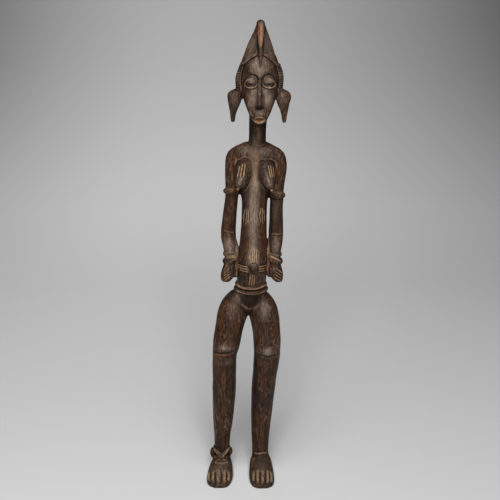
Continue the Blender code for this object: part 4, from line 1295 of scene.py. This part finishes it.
class Chisel:
    """Cuts marks into a skin and notes what they do to its colour."""

    spacing: float = 1.5
    far: float = 500
    over_feet: float = 70
    facing_share: float = -0.12
    blunt_end: float = 0.35
    cut_edge: float = 1.1
    tint_edge: float = 1.45

    def __init__(self, mesh: bpy.types.Mesh) -> None:
        """Takes the skin to be cut.

        Args:
            mesh: The closed skin, in metres.
        """
        self.mesh = mesh
        self.count = len(mesh.vertices)
        self.points = rows_of(mesh.vertices, "co")
        self.normals = rows_of(mesh.vertex_normals, "vector")
        self.tree = BVHTree.FromPolygons(
            [v.co for v in mesh.vertices], [tuple(p.vertices) for p in mesh.polygons]
        )
        self.tones = {tone: np.zeros(self.count) for tone in Tone}

    def on_surface(self, line: Sequence[Plan], look: Look) -> np.ndarray:
        """Points along a drawn line, set on the first wood met.

        Args:
            line: The line in thousandths, in the plan seen from that side.
            look: The side that it is drawn from.

        Returns:
            Rows of points in metres.
        """
        spaced = []
        for a, b in zip(line, line[1:]):
            a, b = Vector(a), Vector(b)
            count = max(2, round((b - a).length / self.spacing))
            spaced += [a.lerp(b, i / count) for i in range(count)]
        spaced.append(Vector(line[-1]))
        found = []
        for p in spaced:
            if look is Look.ABOVE:
                start = Vector((p.x, p.y, self.over_feet))
            elif look in (Look.FRONT, Look.BACK):
                start = Vector((p.x, -look.way.y * self.far, p.y))
            else:
                start = Vector((-look.way.x * self.far, p.x, p.y))
            hit = self.tree.ray_cast(start * SHARE, look.way)[0]
            if hit is not None:
                found.append(hit)
        return np.array(found)

    def near(
        self, path: np.ndarray, reach: float, facing: np.ndarray,
    ) -> tuple[np.ndarray, np.ndarray, np.ndarray]:
        """The skin's points near a path.

        Args:
            path: Rows of points.
            reach: How far away still counts.
            facing: Which points look towards the carver.

        Returns:
            Which points, how far each is from the path, and how far from its nearer end.
        """
        low, high = path.min(0) - reach, path.max(0) + reach
        chosen = np.nonzero(facing & np.all((self.points > low) & (self.points < high), axis=1))[0]
        here = self.points[chosen]
        away = np.full(len(chosen), np.inf)
        for a, b in zip(path, path[1:]):
            run = b - a
            t = np.clip((here - a) @ run / max(run @ run, 1e-12), 0, 1)
            away = np.minimum(away, np.linalg.norm(here - a - t[:, None] * run, axis=1))
        ends = np.minimum(*(np.linalg.norm(here - end, axis=1) for end in (path[0], path[-1])))
        return chosen, away, ends

    def carve(self, marks: Iterable[Mark]) -> None:
        """Cuts and raises the marks along the skin's own normals, and tints them.

        Args:
            marks: The marks, in any order.
        """
        sunk, raised = np.zeros(self.count), np.zeros(self.count)
        for mark in marks:
            facing = self.normals @ np.array(mark.look.way) < self.facing_share
            for line in mark.lines:
                path = self.on_surface(line, mark.look)
                if len(path) < 2:
                    continue
                chosen, away, ends = self.near(path, mark.width * max(1.0, mark.halo), facing)
                closed = np.linalg.norm(path[0] - path[-1]) < mark.width
                taper = 1.0 if closed else np.clip(self.blunt_end + ends / mark.width, 0, 1)
                shape = taper * smooth_step(self.cut_edge - 2 * away / mark.width)
                if mark.depth > 0:
                    sunk[chosen] = np.maximum(sunk[chosen], mark.depth * shape)
                elif mark.depth < 0:
                    raised[chosen] = np.maximum(raised[chosen], -mark.depth * shape)
                tint = taper * smooth_step(self.tint_edge - 2 * away / (mark.width * mark.halo))
                for tone, amount in mark.tones():
                    self.tones[tone][chosen] = np.maximum(self.tones[tone][chosen], amount * tint)
        self.points += self.normals * (raised - sunk)[:, None]

    def tint(self, zones: Iterable[Zone]) -> None:
        """Colours egg-shaped regions of the skin.

        Args:
            zones: The regions, in any order.
        """
        for zone in zones:
            away = (self.points / SHARE - zone.centre) / np.array(zone.radii)
            amount = zone.amount * np.exp(-(away**2).sum(1))
            self.tones[zone.tone] = np.maximum(self.tones[zone.tone], amount)

    def roughen(self) -> None:
        """Adds the slight unevenness of a hand-worked surface."""
        x, y, z = (self.points / SHARE).T
        broad = np.sin(0.13 * x + 0.047 * z + 1.3) * np.sin(0.11 * y - 0.038 * z + 0.7)
        small = np.sin(0.31 * x - 0.21 * y + 0.071 * z) * np.sin(0.083 * z + 0.27 * y + 2.1)
        self.points += self.normals * (BROAD_WAVE * broad + SMALL_WAVE * small)[:, None]

    def write(self) -> None:
        """Puts the points and tones into the mesh."""
        self.mesh.vertices.foreach_set("co", self.points.ravel())
        self.mesh.update()
        for tone, values in self.tones.items():
            add_numbers(self.mesh, tone.value, values)


class Figure:
    """The whole figure as one closed skin."""

    def __init__(self) -> None:
        """Sets out its parts."""
        self.head = Head()
        self.parts: list[Head | Trunk | Arms | Legs] = [self.head, Trunk(), Arms(), Legs()]

    def joined(self, forms: Iterable[bmesh.types.BMesh], name: str) -> bpy.types.Mesh:
        """One mesh that holds all the forms, which may still overlap.

        Args:
            forms: The forms, which are used up.
            name: What the mesh is called.

        Returns:
            The mesh.
        """
        bm = bmesh.new()
        for form in forms:
            mesh = bpy.data.meshes.new("form")
            form.to_mesh(mesh)
            form.free()
            bm.from_mesh(mesh)
            bpy.data.meshes.remove(mesh)
        mesh = bpy.data.meshes.new(name)
        bm.to_mesh(mesh)
        bm.free()
        return mesh

    def through(self, mesh: bpy.types.Mesh, prepare: Callable[[bpy.types.Object], None]) -> bpy.types.Mesh:
        """The mesh after modifiers.

        Args:
            mesh: The mesh, which is used up.
            prepare: Puts the modifiers on the object that it is given.

        Returns:
            The new mesh.
        """
        block = bpy.data.objects.new("block", mesh)
        bpy.context.scene.collection.objects.link(block)
        prepare(block)
        done = bpy.data.meshes.new_from_object(
            block.evaluated_get(bpy.context.evaluated_depsgraph_get())
        )
        bpy.data.objects.remove(block)
        bpy.data.meshes.remove(mesh)
        return done

    def worked(self, mesh: bpy.types.Mesh, grain: float, passes: int) -> bpy.types.Mesh:
        """The mesh as one skin with cells of the given size, its joins eased in so many passes.

        Args:
            mesh: The mesh, which is used up.
            grain: The size of a cell, in metres.
            passes: How often the joins are eased.

        Returns:
            The new mesh.
        """

        def prepare(block: bpy.types.Object) -> None:
            """Remeshes, then smooths.

            Args:
                block: The object that carries the mesh.
            """
            remesh = block.modifiers.new("one_skin", "REMESH")
            remesh.mode = "VOXEL"
            remesh.voxel_size = grain
            ease = block.modifiers.new("ease", "SMOOTH")
            ease.factor = 0.5
            ease.iterations = passes

        return self.through(mesh, prepare)

    def thinned(self, mesh: bpy.types.Mesh, count: int) -> bpy.types.Mesh:
        """The mesh with about count triangles, kept where the form bends most.

        Args:
            mesh: The mesh, which is used up.
            count: How many triangles to aim at.

        Returns:
            The new mesh.
        """

        def prepare(block: bpy.types.Object) -> None:
            """Triangulates, then collapses edges.

            Args:
                block: The object that carries the mesh.
            """
            corners = block.modifiers.new("three_sided", "TRIANGULATE")
            corners.quad_method = "FIXED"
            reduce = block.modifiers.new("fewer_faces", "DECIMATE")
            reduce.ratio = count / (2 * len(mesh.polygons))

        return self.through(mesh, prepare)

    def blocked_out(self) -> bpy.types.Mesh:
        """The big forms eased into one another and hollowed at the face, with the features set on.

        Returns:
            The mesh, whose forms still overlap.
        """
        masses = self.worked(
            self.joined((f for part in self.parts for f in part.masses()), "masses"), ROUGH_GRAIN, 5
        )
        points = rows_of(masses.vertices, "co")
        points[:, 1] += self.head.hollows(points / SHARE) * SHARE
        masses.vertices.foreach_set("co", points.ravel())
        masses.update()
        features = self.joined((f for part in self.parts for f in part.features()), "features")
        both = bmesh.new()
        both.from_mesh(masses)
        both.from_mesh(features)
        both.to_mesh(masses)
        both.free()
        bpy.data.meshes.remove(features)
        return masses

    def outer_skin(self, bm: bmesh.types.BMesh) -> None:
        """Leaves only the outer skin, without bubbles shut inside by joining forms.

        Args:
            bm: The joined skin, which is changed.
        """
        left = set(bm.verts)
        skins = []
        while left:
            rim = [left.pop()]
            skin = list(rim)
            while rim:
                near = {e.other_vert(v) for v in rim for e in v.link_edges} & left
                left -= near
                rim = list(near)
                skin += rim
            skins.append(skin)
        skins.sort(key=len)
        for skin in skins[:-1]:
            bmesh.ops.delete(bm, geom=skin, context="VERTS")

    def settled(self, mesh: bpy.types.Mesh) -> None:
        """Cuts the soles level, closes them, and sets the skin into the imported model's box.

        Args:
            mesh: The skin, which is changed.
        """
        bm = bmesh.new()
        bm.from_mesh(mesh)
        self.outer_skin(bm)
        bmesh.ops.bisect_plane(
            bm, geom=bm.verts[:] + bm.edges[:] + bm.faces[:], dist=1e-6,
            plane_co=(0, 0, 0), plane_no=(0, 0, 1), clear_inner=True,
        )
        bmesh.ops.holes_fill(bm, edges=[e for e in bm.edges if e.is_boundary], sides=0)
        bmesh.ops.triangulate(bm, faces=[f for f in bm.faces if len(f.verts) > 3])
        corners = np.array([v.co for v in bm.verts])
        low, high = corners.min(0), corners.max(0)
        box_low, box_high = (np.array(c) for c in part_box("carved_figure"))
        scale = (box_high - box_low) / (high - low)
        log.info("skin %s mm, scaled by %s", np.round((high - low) * 1000, 1), np.round(scale, 4))
        place = Matrix.Translation(Vector(box_low)) @ Matrix.Diagonal((*scale, 1))
        bm.transform(place @ Matrix.Translation(-Vector(low)))
        bm.to_mesh(mesh)
        bm.free()

    def relief(self, mesh: bpy.types.Mesh) -> None:
        """Notes how far each point stands out or lies back from the form around it.

        Args:
            mesh: The skin, which gets the numbers.
        """
        count = len(mesh.vertices)
        points = rows_of(mesh.vertices, "co")
        normals = rows_of(mesh.vertex_normals, "vector")
        edges = np.empty(len(mesh.edges) * 2, dtype=np.int64)
        mesh.edges.foreach_get("vertices", edges)
        a, b = edges.reshape(-1, 2).T
        share = np.bincount(a, minlength=count) + np.bincount(b, minlength=count)
        eased = points.copy()
        for name, (passes, scale) in RELIEFS.items():
            for _ in range(passes):
                mean = np.empty_like(eased)
                for axis in range(3):
                    mean[:, axis] = (
                        np.bincount(a, eased[b, axis], count) + np.bincount(b, eased[a, axis], count)
                    )
                eased = mean / share[:, None]
            out = ((points - eased) * normals).sum(1) / scale
            add_numbers(mesh, name, np.clip(out, -1, 1))

    def build(self) -> bpy.types.Object:
        """Makes the skin.

        Returns:
            The finished object, without its material.
        """
        skin = self.worked(self.blocked_out(), FINE_GRAIN, 2)
        log.info("worked skin: %d faces", len(skin.polygons))
        chisel = Chisel(skin)
        chisel.carve(mark for part in self.parts for mark in part.marks())
        chisel.tint(zone for part in self.parts for zone in part.zones())
        chisel.roughen()
        chisel.write()
        skin = self.thinned(skin, SKIN_TRIANGLES)
        self.settled(skin)
        self.relief(skin)
        skin.name = "carved_wood_skin"
        skin.shade_smooth()
        figure = bpy.data.objects.new("carved_wood_figure", skin)
        bpy.context.scene.collection.objects.link(figure)
        log.info("figure: %d triangles", len(skin.polygons))
        return figure


class Nodes:
    """A short hand for placing shader nodes in one tree."""

    def __init__(self, tree: bpy.types.NodeTree) -> None:
        """Takes the tree that the nodes go into."""
        self.tree = tree

    def add(self, kind: str, inputs: dict[int | str, object] | None = None,
            **settings: object) -> bpy.types.Node:
        """Adds a node.

        Args:
            kind: Its type without the ShaderNode prefix.
            inputs: A value or an output socket for each named or numbered input.
            settings: Its own properties.

        Returns:
            The node.
        """
        node = self.tree.nodes.new("ShaderNode" + kind)
        for name, value in settings.items():
            setattr(node, name, value)
        for key, value in (inputs or {}).items():
            self.feed(node.inputs[key], value)
        return node

    def feed(self, socket: bpy.types.NodeSocket, value: object) -> None:
        """Links an output to the socket, or sets the socket's own value.

        Args:
            socket: The input.
            value: A value or an output socket.
        """
        if isinstance(value, bpy.types.NodeSocket):
            self.tree.links.new(value, socket)
        else:
            socket.default_value = value

    def math(self, operation: str, a: object, b: object = 0.0, clamp: bool = False) -> bpy.types.NodeSocket:
        """The result of one sum."""
        return self.add("Math", {0: a, 1: b}, operation=operation, use_clamp=clamp).outputs[0]

    def times(self, a: object, b: object) -> bpy.types.NodeSocket:
        """One value times the other."""
        return self.math("MULTIPLY", a, b)

    def plus(self, a: object, b: object) -> bpy.types.NodeSocket:
        """One value plus the other."""
        return self.math("ADD", a, b)

    def less(self, a: object, b: object) -> bpy.types.NodeSocket:
        """One value less the other."""
        return self.math("SUBTRACT", a, b)

    def ramp(self, value: object, low: float, high: float, to_low: float = 0.0, to_high: float = 1.0,
             smooth: bool = True) -> bpy.types.NodeSocket:
        """The value taken from one range to another and held there.

        Args:
            value: What is taken.
            low: Where the range starts.
            high: Where it ends.
            to_low: What its start becomes.
            to_high: What its end becomes.
            smooth: Whether it eases in and out.

        Returns:
            The result's socket.
        """
        node = self.add("MapRange", {0: value, 1: low, 2: high, 3: to_low, 4: to_high})
        node.interpolation_type = "SMOOTHSTEP" if smooth else "LINEAR"
        return node.outputs[0]

    def mix(self, share: object, a: object, b: object) -> bpy.types.NodeSocket:
        """One colour laid over another by a share.

        Args:
            share: How much of the second colour shows.
            a: The colour below.
            b: The colour laid over it.

        Returns:
            The result's socket.
        """
        node = self.add("Mix", data_type="RGBA", blend_type="MIX", clamp_factor=True)
        for number, value in ((0, share), (6, a), (7, b)):
            self.feed(node.inputs[number], value)
        return node.outputs[2]

    def noise(self, place: object, scale: object, detail: float, roughness: float = 0.5,
              distortion: float = 0.0) -> bpy.types.NodeSocket:
        """A cloudy value that changes from place to place.

        Args:
            place: Where the value is wanted.
            scale: How small the clouds are.
            detail: How many finer layers they have.
            roughness: How strong the finer layers are.
            distortion: How far the clouds are bent.

        Returns:
            The value's socket.
        """
        inputs = {"Vector": place, "Scale": scale, "Detail": detail, "Roughness": roughness,
                  "Distortion": distortion}
        return self.add("TexNoise", inputs).outputs["Fac"]

    def attribute(self, name: str) -> bpy.types.NodeSocket:
        """A number that the skin carries."""
        return self.add("Attribute", attribute_name=name).outputs["Fac"]


class Effect(Nodes):
    """A shader node group with named value outputs."""

    def __init__(self, name: str, inputs: dict[str, float | None], outputs: Sequence[str]) -> None:
        """Sets out the group's sockets.

        Args:
            name: What it is called.
            inputs: Each input's name and default, or None for a vector.
            outputs: The names of the value outputs.
        """
        super().__init__(bpy.data.node_groups.new(name, "ShaderNodeTree"))
        sockets = self.tree.interface
        for label, default in inputs.items():
            kind = "NodeSocketVector" if default is None else "NodeSocketFloat"
            socket = sockets.new_socket(name=label, in_out="INPUT", socket_type=kind)
            if default is not None:
                socket.default_value = default
        for label in outputs:
            sockets.new_socket(name=label, in_out="OUTPUT", socket_type="NodeSocketFloat")
        self.given = self.tree.nodes.new("NodeGroupInput").outputs
        self.made = self.tree.nodes.new("NodeGroupOutput").inputs

    def drawn_out(self, share: object) -> bpy.types.NodeSocket:
        """The place with its height cut to a share, which draws a pattern out along the grain."""
        scale = self.add("CombineXYZ", {"X": 1.0, "Y": 1.0, "Z": share}).outputs[0]
        return self.add("VectorMath", {0: self.given["Place"], 1: scale}, operation="MULTIPLY").outputs[0]


def streaked_grain() -> bpy.types.NodeTree:
    """Long grain that runs up the block, as broad streaks, fine fibres and a height.

    Returns:
        The node group.
    """
    effect = Effect("streaked_grain", {"Place": None, "Scale": 300.0, "Stretch": 0.07},
                    ("Streaks", "Fibres", "Height"))
    place, scale = effect.drawn_out(effect.given["Stretch"]), effect.given["Scale"]
    broad = effect.noise(place, scale, 5.0, roughness=0.6, distortion=0.15)
    fine = effect.noise(place, effect.times(scale, 4.5), 3.0, roughness=0.7)
    streaks = effect.ramp(broad, 0.30, 0.72)
    fibres = effect.ramp(fine, 0.40, 0.66)
    height = effect.plus(effect.times(streaks, 0.5), effect.times(fibres, 0.5))
    for label, value in (("Streaks", streaks), ("Fibres", fibres), ("Height", height)):
        effect.feed(effect.made[label], value)
    return effect.tree


def tool_marks() -> bpy.types.NodeTree:
    """Shallow facets left by the adze and knife.

    Returns:
        The node group.
    """
    effect = Effect("tool_marks", {"Place": None, "Scale": 110.0}, ("Height",))
    flatter = effect.drawn_out(0.42)
    bent = effect.add("TexNoise", {"Vector": flatter, "Scale": 40.0, "Detail": 1.0}).outputs["Color"]
    bend = (0.012, 0.012, 0.012)
    shifted = effect.add("VectorMath", {0: bent, 1: bend, 2: flatter}, operation="MULTIPLY_ADD").outputs[0]
    cells = effect.add(
        "TexVoronoi", {"Vector": shifted, "Scale": effect.given["Scale"], "Smoothness": 0.35},
        feature="SMOOTH_F1",
    ).outputs["Distance"]
    effect.feed(effect.made["Height"], effect.ramp(cells, 0.0, 0.9, 1.0, 0.0))
    return effect.tree


def mottling() -> bpy.types.NodeTree:
    """Cloudy patches in the dark skin that years of oil and smoke have left.

    Returns:
        The node group.
    """
    effect = Effect("mottling", {"Place": None, "Scale": 62.0}, ("Clouds", "Flecks"))
    place, scale = effect.drawn_out(0.3), effect.given["Scale"]
    clouds = effect.noise(place, scale, 5.0, roughness=0.6, distortion=0.5)
    flecks = effect.noise(place, effect.times(scale, 7.0), 4.0, roughness=0.65)
    effect.feed(effect.made["Clouds"], effect.ramp(clouds, 0.33, 0.67))
    effect.feed(effect.made["Flecks"], effect.ramp(flecks, 0.42, 0.66))
    return effect.tree


def small_pits() -> bpy.types.NodeTree:
    """Small dark holes and checks scattered here and there.

    Returns:
        The node group.
    """
    effect = Effect("small_pits", {"Place": None, "Scale": 420.0, "Share": 0.58}, ("Holes",))
    place = effect.drawn_out(0.35)
    cells = effect.add("TexVoronoi", {"Vector": place, "Scale": effect.given["Scale"]}).outputs["Distance"]
    spots = effect.ramp(cells, 0.10, 0.22, 1.0, 0.0)
    lower = effect.less(1.0, effect.times(effect.given["Share"], 0.8))
    patches = effect.ramp(effect.less(effect.noise(place, 38.0, 2.0), lower), -0.06, 0.06)
    effect.feed(effect.made["Holes"], effect.times(spots, patches))
    return effect.tree


def edge_wear() -> bpy.types.NodeTree:
    """Where hands have rubbed the edges, and where dirt has settled between them.

    Returns:
        The node group.
    """
    effect = Effect("edge_wear", {"Fine relief": 0.0, "Broad relief": 0.0, "Breakup": 0.5},
                    ("Rubbed", "Settled"))
    fine, broad = effect.given["Fine relief"], effect.given["Broad relief"]
    noise = effect.times(effect.less(effect.given["Breakup"], 0.5), 0.3)
    out = effect.less(fine, effect.times(broad, 0.4))
    back = effect.times(effect.plus(effect.times(fine, 0.55), broad), -1.0)
    effect.feed(effect.made["Rubbed"], effect.ramp(effect.plus(out, noise), 0.44, 0.9))
    effect.feed(effect.made["Settled"], effect.ramp(effect.plus(back, noise), 0.22, 1.1))
    return effect.tree


@dataclass(frozen=True)
class Patina:
    """The dark, oiled and handled skin of old hardwood: its colours, and how far each one covers."""

    black: Colour = (0.0045, 0.0026, 0.0015, 1.0)
    dark: Colour = (0.0100, 0.0052, 0.0029, 1.0)
    brown: Colour = (0.100, 0.0465, 0.0220, 1.0)
    red: Colour = (0.092, 0.0285, 0.0085, 1.0)
    dusty_and_highlight: Colour = (0.292, 0.212, 0.163, 1.0)
    bared: Colour = (0.480, 0.295, 0.158, 1.0)
    orange: Colour = (0.270, 0.084, 0.021, 1.0)
    cloud_cover: float = 0.70
    red_cover: float = 0.85
    fibre_dust: float = 0.11
    handled_and_highlight_cover: float = 0.9
    rubbed_cover: float = 0.26
    fleck_cover: float = 0.42
    settled_cover: float = 0.5
    dirt_and_shade_cover: float = 0.92
    pit_cover: float = 0.8
    smoothest: float = 0.40
    dullest: float = 0.54
    coat_roughness: float = 0.2
    shine: float = 0.12

    def colour(self, nodes: Nodes, effects: dict[str, bpy.types.Node]) -> bpy.types.NodeSocket:
        """The wood's colour: streaks, clouds, redder patches, dust and wear with some painted highlight,
        dirt with some painted shade, bared wood and pits.

        Args:
            nodes: The material's node maker.
            effects: The placed groups by name.

        Returns:
            The colour's socket.
        """
        dirt_and_shade, pale, red, worn_and_highlight = (
            nodes.attribute(tone.value) for tone in (Tone.DIRT_AND_SHADE, Tone.PALE, Tone.RED, Tone.WORN_AND_HIGHLIGHT)
        )
        clouds, flecks = effects["mottling"].outputs["Clouds"], effects["mottling"].outputs["Flecks"]
        streaks, fibres = effects["grain"].outputs["Streaks"], effects["grain"].outputs["Fibres"]
        rubbed, settled = effects["wear"].outputs["Rubbed"], effects["wear"].outputs["Settled"]
        base = nodes.mix(nodes.ramp(streaks, 0.0, 1.0, 0.1, 1.0), self.dark, self.brown)
        base = nodes.mix(nodes.times(clouds, self.cloud_cover), base, self.dark)
        redder = nodes.plus(red, nodes.ramp(clouds, 0.0, 0.7, 0.42, 0.0))
        redder = nodes.times(redder, nodes.ramp(flecks, 0.0, 1.0, 0.35, 1.0))
        base = nodes.mix(nodes.times(redder, self.red_cover), base, self.red)
        base = nodes.mix(nodes.times(nodes.times(flecks, fibres), self.fibre_dust), base, self.dusty_and_highlight)
        # Handled wear lightens towards the dusty colour; the spots on the knees and down the neck are
        # painted highlight.
        handled_and_painted_highlight = nodes.ramp(nodes.plus(worn_and_highlight, nodes.times(clouds, 0.2)), 0.12, 1.0)
        handled_and_painted_highlight = nodes.times(handled_and_painted_highlight, nodes.ramp(streaks, 0.0, 1.0, 0.7, 1.0))
        base = nodes.mix(nodes.times(handled_and_painted_highlight, self.handled_and_highlight_cover), base, self.dusty_and_highlight)
        base = nodes.mix(nodes.times(rubbed, self.rubbed_cover), base, self.dusty_and_highlight)
        base = nodes.mix(nodes.times(nodes.less(1.0, flecks), self.fleck_cover), base, self.dark)
        base = nodes.mix(nodes.times(settled, self.settled_cover), base, self.black)
        # Dirt darkens towards black; under the nose, the chin and the brows and down the neck it is painted
        # shade.
        base = nodes.mix(nodes.times(dirt_and_shade, self.dirt_and_shade_cover), base, self.black)
        fresh = nodes.times(pale, nodes.ramp(flecks, 0.0, 1.0, 0.5, 0.92))
        base = nodes.mix(fresh, base, nodes.mix(red, self.bared, self.orange))
        holes = effects["pits"].outputs["Holes"]
        return nodes.mix(nodes.times(holes, self.pit_cover), base, self.black)

    def gloss(self, nodes: Nodes, effects: dict[str, bpy.types.Node], shader: bpy.types.Node) -> None:
        """Sets the roughness and the waxed coat, which dirt, painted shade and bared wood all dull.

        Args:
            nodes: The material's node maker.
            effects: The placed groups by name.
            shader: The shader that is set.
        """
        dirt_and_shade, pale, waxed = (nodes.attribute(tone.value) for tone in (Tone.DIRT_AND_SHADE, Tone.PALE, Tone.WAXED))
        rough = nodes.ramp(effects["mottling"].outputs["Clouds"], 0.0, 1.0, self.smoothest, self.dullest)
        rough = nodes.plus(rough, nodes.times(effects["wear"].outputs["Settled"], 0.22))
        rough = nodes.plus(rough, nodes.times(nodes.plus(pale, dirt_and_shade), 0.14))
        fibres = nodes.times(effects["grain"].outputs["Fibres"], 0.08)
        nodes.feed(shader.inputs["Roughness"], nodes.math("ADD", rough, fibres, clamp=True))
        coat = nodes.plus(nodes.times(waxed, 0.95), 0.05)
        dulled = nodes.less(1.0, nodes.math("MAXIMUM", dirt_and_shade, pale))
        nodes.feed(shader.inputs["Coat Weight"], nodes.math("MULTIPLY", coat, dulled, clamp=True))
        shader.inputs["Coat Roughness"].default_value = self.coat_roughness
        shader.inputs["Specular IOR Level"].default_value = self.shine

    def material(self) -> bpy.types.Material:
        """The finished material.

        Returns:
            The material.
        """
        material = bpy.data.materials.new("dark_handled_hardwood")
        material.use_nodes = True
        nodes = Nodes(material.node_tree)
        shader = material.node_tree.nodes["Principled BSDF"]
        place = nodes.add("TexCoord").outputs["Object"]
        trees = {"grain": streaked_grain(), "mottling": mottling(), "facets": tool_marks(),
                 "pits": small_pits()}
        effects = {name: nodes.add("Group", node_tree=tree) for name, tree in trees.items()}
        for effect in effects.values():
            nodes.feed(effect.inputs["Place"], place)
        wear = nodes.add("Group", node_tree=edge_wear())
        nodes.feed(wear.inputs["Fine relief"], nodes.attribute("fine_relief"))
        nodes.feed(wear.inputs["Broad relief"], nodes.attribute("broad_relief"))
        nodes.feed(wear.inputs["Breakup"], effects["mottling"].outputs["Flecks"])
        effects["wear"] = wear
        nodes.feed(shader.inputs["Base Color"], self.colour(nodes, effects))
        self.gloss(nodes, effects, shader)
        height = nodes.plus(nodes.times(effects["facets"].outputs["Height"], 0.9),
                            nodes.times(effects["grain"].outputs["Height"], 0.35))
        height = nodes.less(height, nodes.times(effects["pits"].outputs["Holes"], 0.8))
        bump = nodes.add("Bump", {"Strength": 0.5, "Distance": 0.0004, "Height": height})
        nodes.feed(shader.inputs["Normal"], bump.outputs["Normal"])
        return material


@dataclass(frozen=True)
class Paper:
    """Pale grey backdrop paper with painted shade far back, towards the sides and a little to the right."""

    grey: Colour = (0.71, 0.71, 0.71, 1.0)
    black: Colour = (0.0, 0.0, 0.0, 1.0)
    roughness: float = 0.9
    far_span: Plan = (1.5, 2.5)
    far_shade: float = 0.30
    side_reach: float = 1.18
    side_span: Plan = (0.5, 2.2)
    side_shade: float = 0.29
    right_span: Plan = (-0.45, 0.5)
    right_shade: float = 0.10

    def material(self) -> bpy.types.Material:
        """The finished material.

        Returns:
            The material.
        """
        material = bpy.data.materials.new("pale_paper")
        material.use_nodes = True
        nodes = Nodes(material.node_tree)
        shader = material.node_tree.nodes["Principled BSDF"]
        axes = nodes.add("SeparateXYZ", {0: nodes.add("TexCoord").outputs["Object"]}).outputs
        far = nodes.ramp(axes["Y"], *self.far_span, 0.0, self.far_shade)
        sides = nodes.math("POWER", nodes.times(nodes.math("ABSOLUTE", axes["X"]), self.side_reach), 2.0)
        back = nodes.ramp(axes["Y"], *self.side_span, 0.0, self.side_shade, smooth=False)
        right = nodes.ramp(axes["X"], *self.right_span, 0.0, self.right_shade)
        # Painted shade: the grey darkens far back, towards the sides and to the right.
        shade = nodes.math("ADD", nodes.plus(far, nodes.times(sides, back)), right, clamp=True)
        nodes.feed(shader.inputs["Base Color"], nodes.mix(shade, self.grey, self.black))
        shader.inputs["Roughness"].default_value = self.roughness
        return material


@dataclass(frozen=True)
class SoftBox:
    """A soft box: where it hangs, what it points at, its width and height, and its watts."""

    name: str
    place: Point
    aim: Point
    size: Plan
    power: float

    def hang(self) -> None:
        """Puts it into the scene."""
        data = bpy.data.lights.new(self.name, "AREA")
        data.shape = "RECTANGLE"
        data.size, data.size_y = self.size
        data.energy = self.power
        lamp = bpy.data.objects.new(self.name, data)
        lamp.location = self.place
        lamp.rotation_euler = (Vector(self.aim) - Vector(self.place)).to_track_quat("-Z", "Y").to_euler()
        bpy.context.scene.collection.objects.link(lamp)


@dataclass
class Studio:
    """The pale floor, the cove behind, the soft lights and the camera."""

    camera_place: Point = (0.0040, -1.7163, 0.8610)
    camera_pitch: float = 15.3
    focal_pixels: float = 1122.0
    picture_pixels: float = 500.0
    sensor: float = 36.0
    floor_half_width: float = 2.6
    floor_front: float = -2.4
    wall_distance: float = 2.6
    cove_radius: float = 1.5
    cove_steps: int = 12
    wall_height: float = 2.6
    lamps: Sequence[SoftBox] = (
        SoftBox("front_softbox", (0.0, -2.1, 1.75), (0, 0, 0.42), (1.0, 0.9), 52.0),
        SoftBox("overhead_softbox", (0.0, -0.75, 2.1), (0.0, -0.35, 0), (1.0, 0.8), 20.0),
        SoftBox("backdrop_softbox", (-0.25, 1.1, 1.5), (-0.2, 2.4, 0.3), (0.4, 0.3), 8.0),
    )
    room_grey: Colour = (0.5, 0.5, 0.5, 1)
    room_glow: float = 0.17

    def camera(self) -> None:
        """Sets up the camera where the photographer stood."""
        data = bpy.data.cameras.new("studio_camera")
        data.sensor_width = self.sensor
        data.lens = self.sensor * self.focal_pixels / self.picture_pixels
        camera = bpy.data.objects.new("studio_camera", data)
        camera.location = self.camera_place
        camera.rotation_euler = (math.radians(90 - self.camera_pitch), 0, 0)
        bpy.context.scene.collection.objects.link(camera)
        bpy.context.scene.camera = camera

    def backdrop(self) -> bpy.types.Object:
        """One sheet of pale paper, lying as a floor and curving up behind.

        Returns:
            The sheet.
        """
        bm = bmesh.new()
        profile = [(self.floor_front, 0.0), (self.wall_distance - self.cove_radius, 0.0)]
        for i in range(1, self.cove_steps + 1):
            a = math.pi / 2 * i / self.cove_steps
            profile.append((self.wall_distance - self.cove_radius * (1 - math.sin(a)),
                            self.cove_radius * (1 - math.cos(a))))
        profile.append((self.wall_distance, self.wall_height))
        line = [bm.verts.new((-self.floor_half_width, y, z)) for y, z in profile]
        edges = [bm.edges.new(pair) for pair in zip(line, line[1:])]
        made = bmesh.ops.extrude_edge_only(bm, edges=edges)["geom"]
        moved = [g for g in made if isinstance(g, bmesh.types.BMVert)]
        bmesh.ops.translate(bm, verts=moved, vec=(2 * self.floor_half_width, 0, 0))
        bmesh.ops.recalc_face_normals(bm, faces=bm.faces)
        if next(f for f in bm.faces if abs(f.calc_center_median().z) < 1e-6).normal.z < 0:
            bmesh.ops.reverse_faces(bm, faces=bm.faces)
        mesh = bpy.data.meshes.new("paper_floor")
        bm.to_mesh(mesh)
        bm.free()
        mesh.shade_smooth()
        mesh.materials.append(Paper().material())
        sheet = bpy.data.objects.new("paper_floor", mesh)
        bpy.context.scene.collection.objects.link(sheet)
        return sheet

    def light(self) -> None:
        """Hangs the lights and sets the room's own glow."""
        for lamp in self.lamps:
            lamp.hang()
        world = bpy.data.worlds.new("studio_air")
        world.use_nodes = True
        air = world.node_tree.nodes["Background"].inputs
        air["Color"].default_value = self.room_grey
        air["Strength"].default_value = self.room_glow
        bpy.context.scene.world = world
        bpy.context.scene.view_settings.view_transform = "Standard"


def main() -> None:
    """Builds the studio and the figure, and dresses the figure."""
    logging.basicConfig(level=logging.INFO, format="%(name)s: %(message)s")
    studio = Studio()
    studio.camera()
    sheet = studio.backdrop()
    log.info("laid %s", sheet.name)
    studio.light()
    figure = Figure().build()
    figure.data.materials.append(Patina().material())
    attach(figure, "root")
    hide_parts("carved_figure")
    log.info("dressed %s", figure.name)


if __name__ == "__main__":
    main()
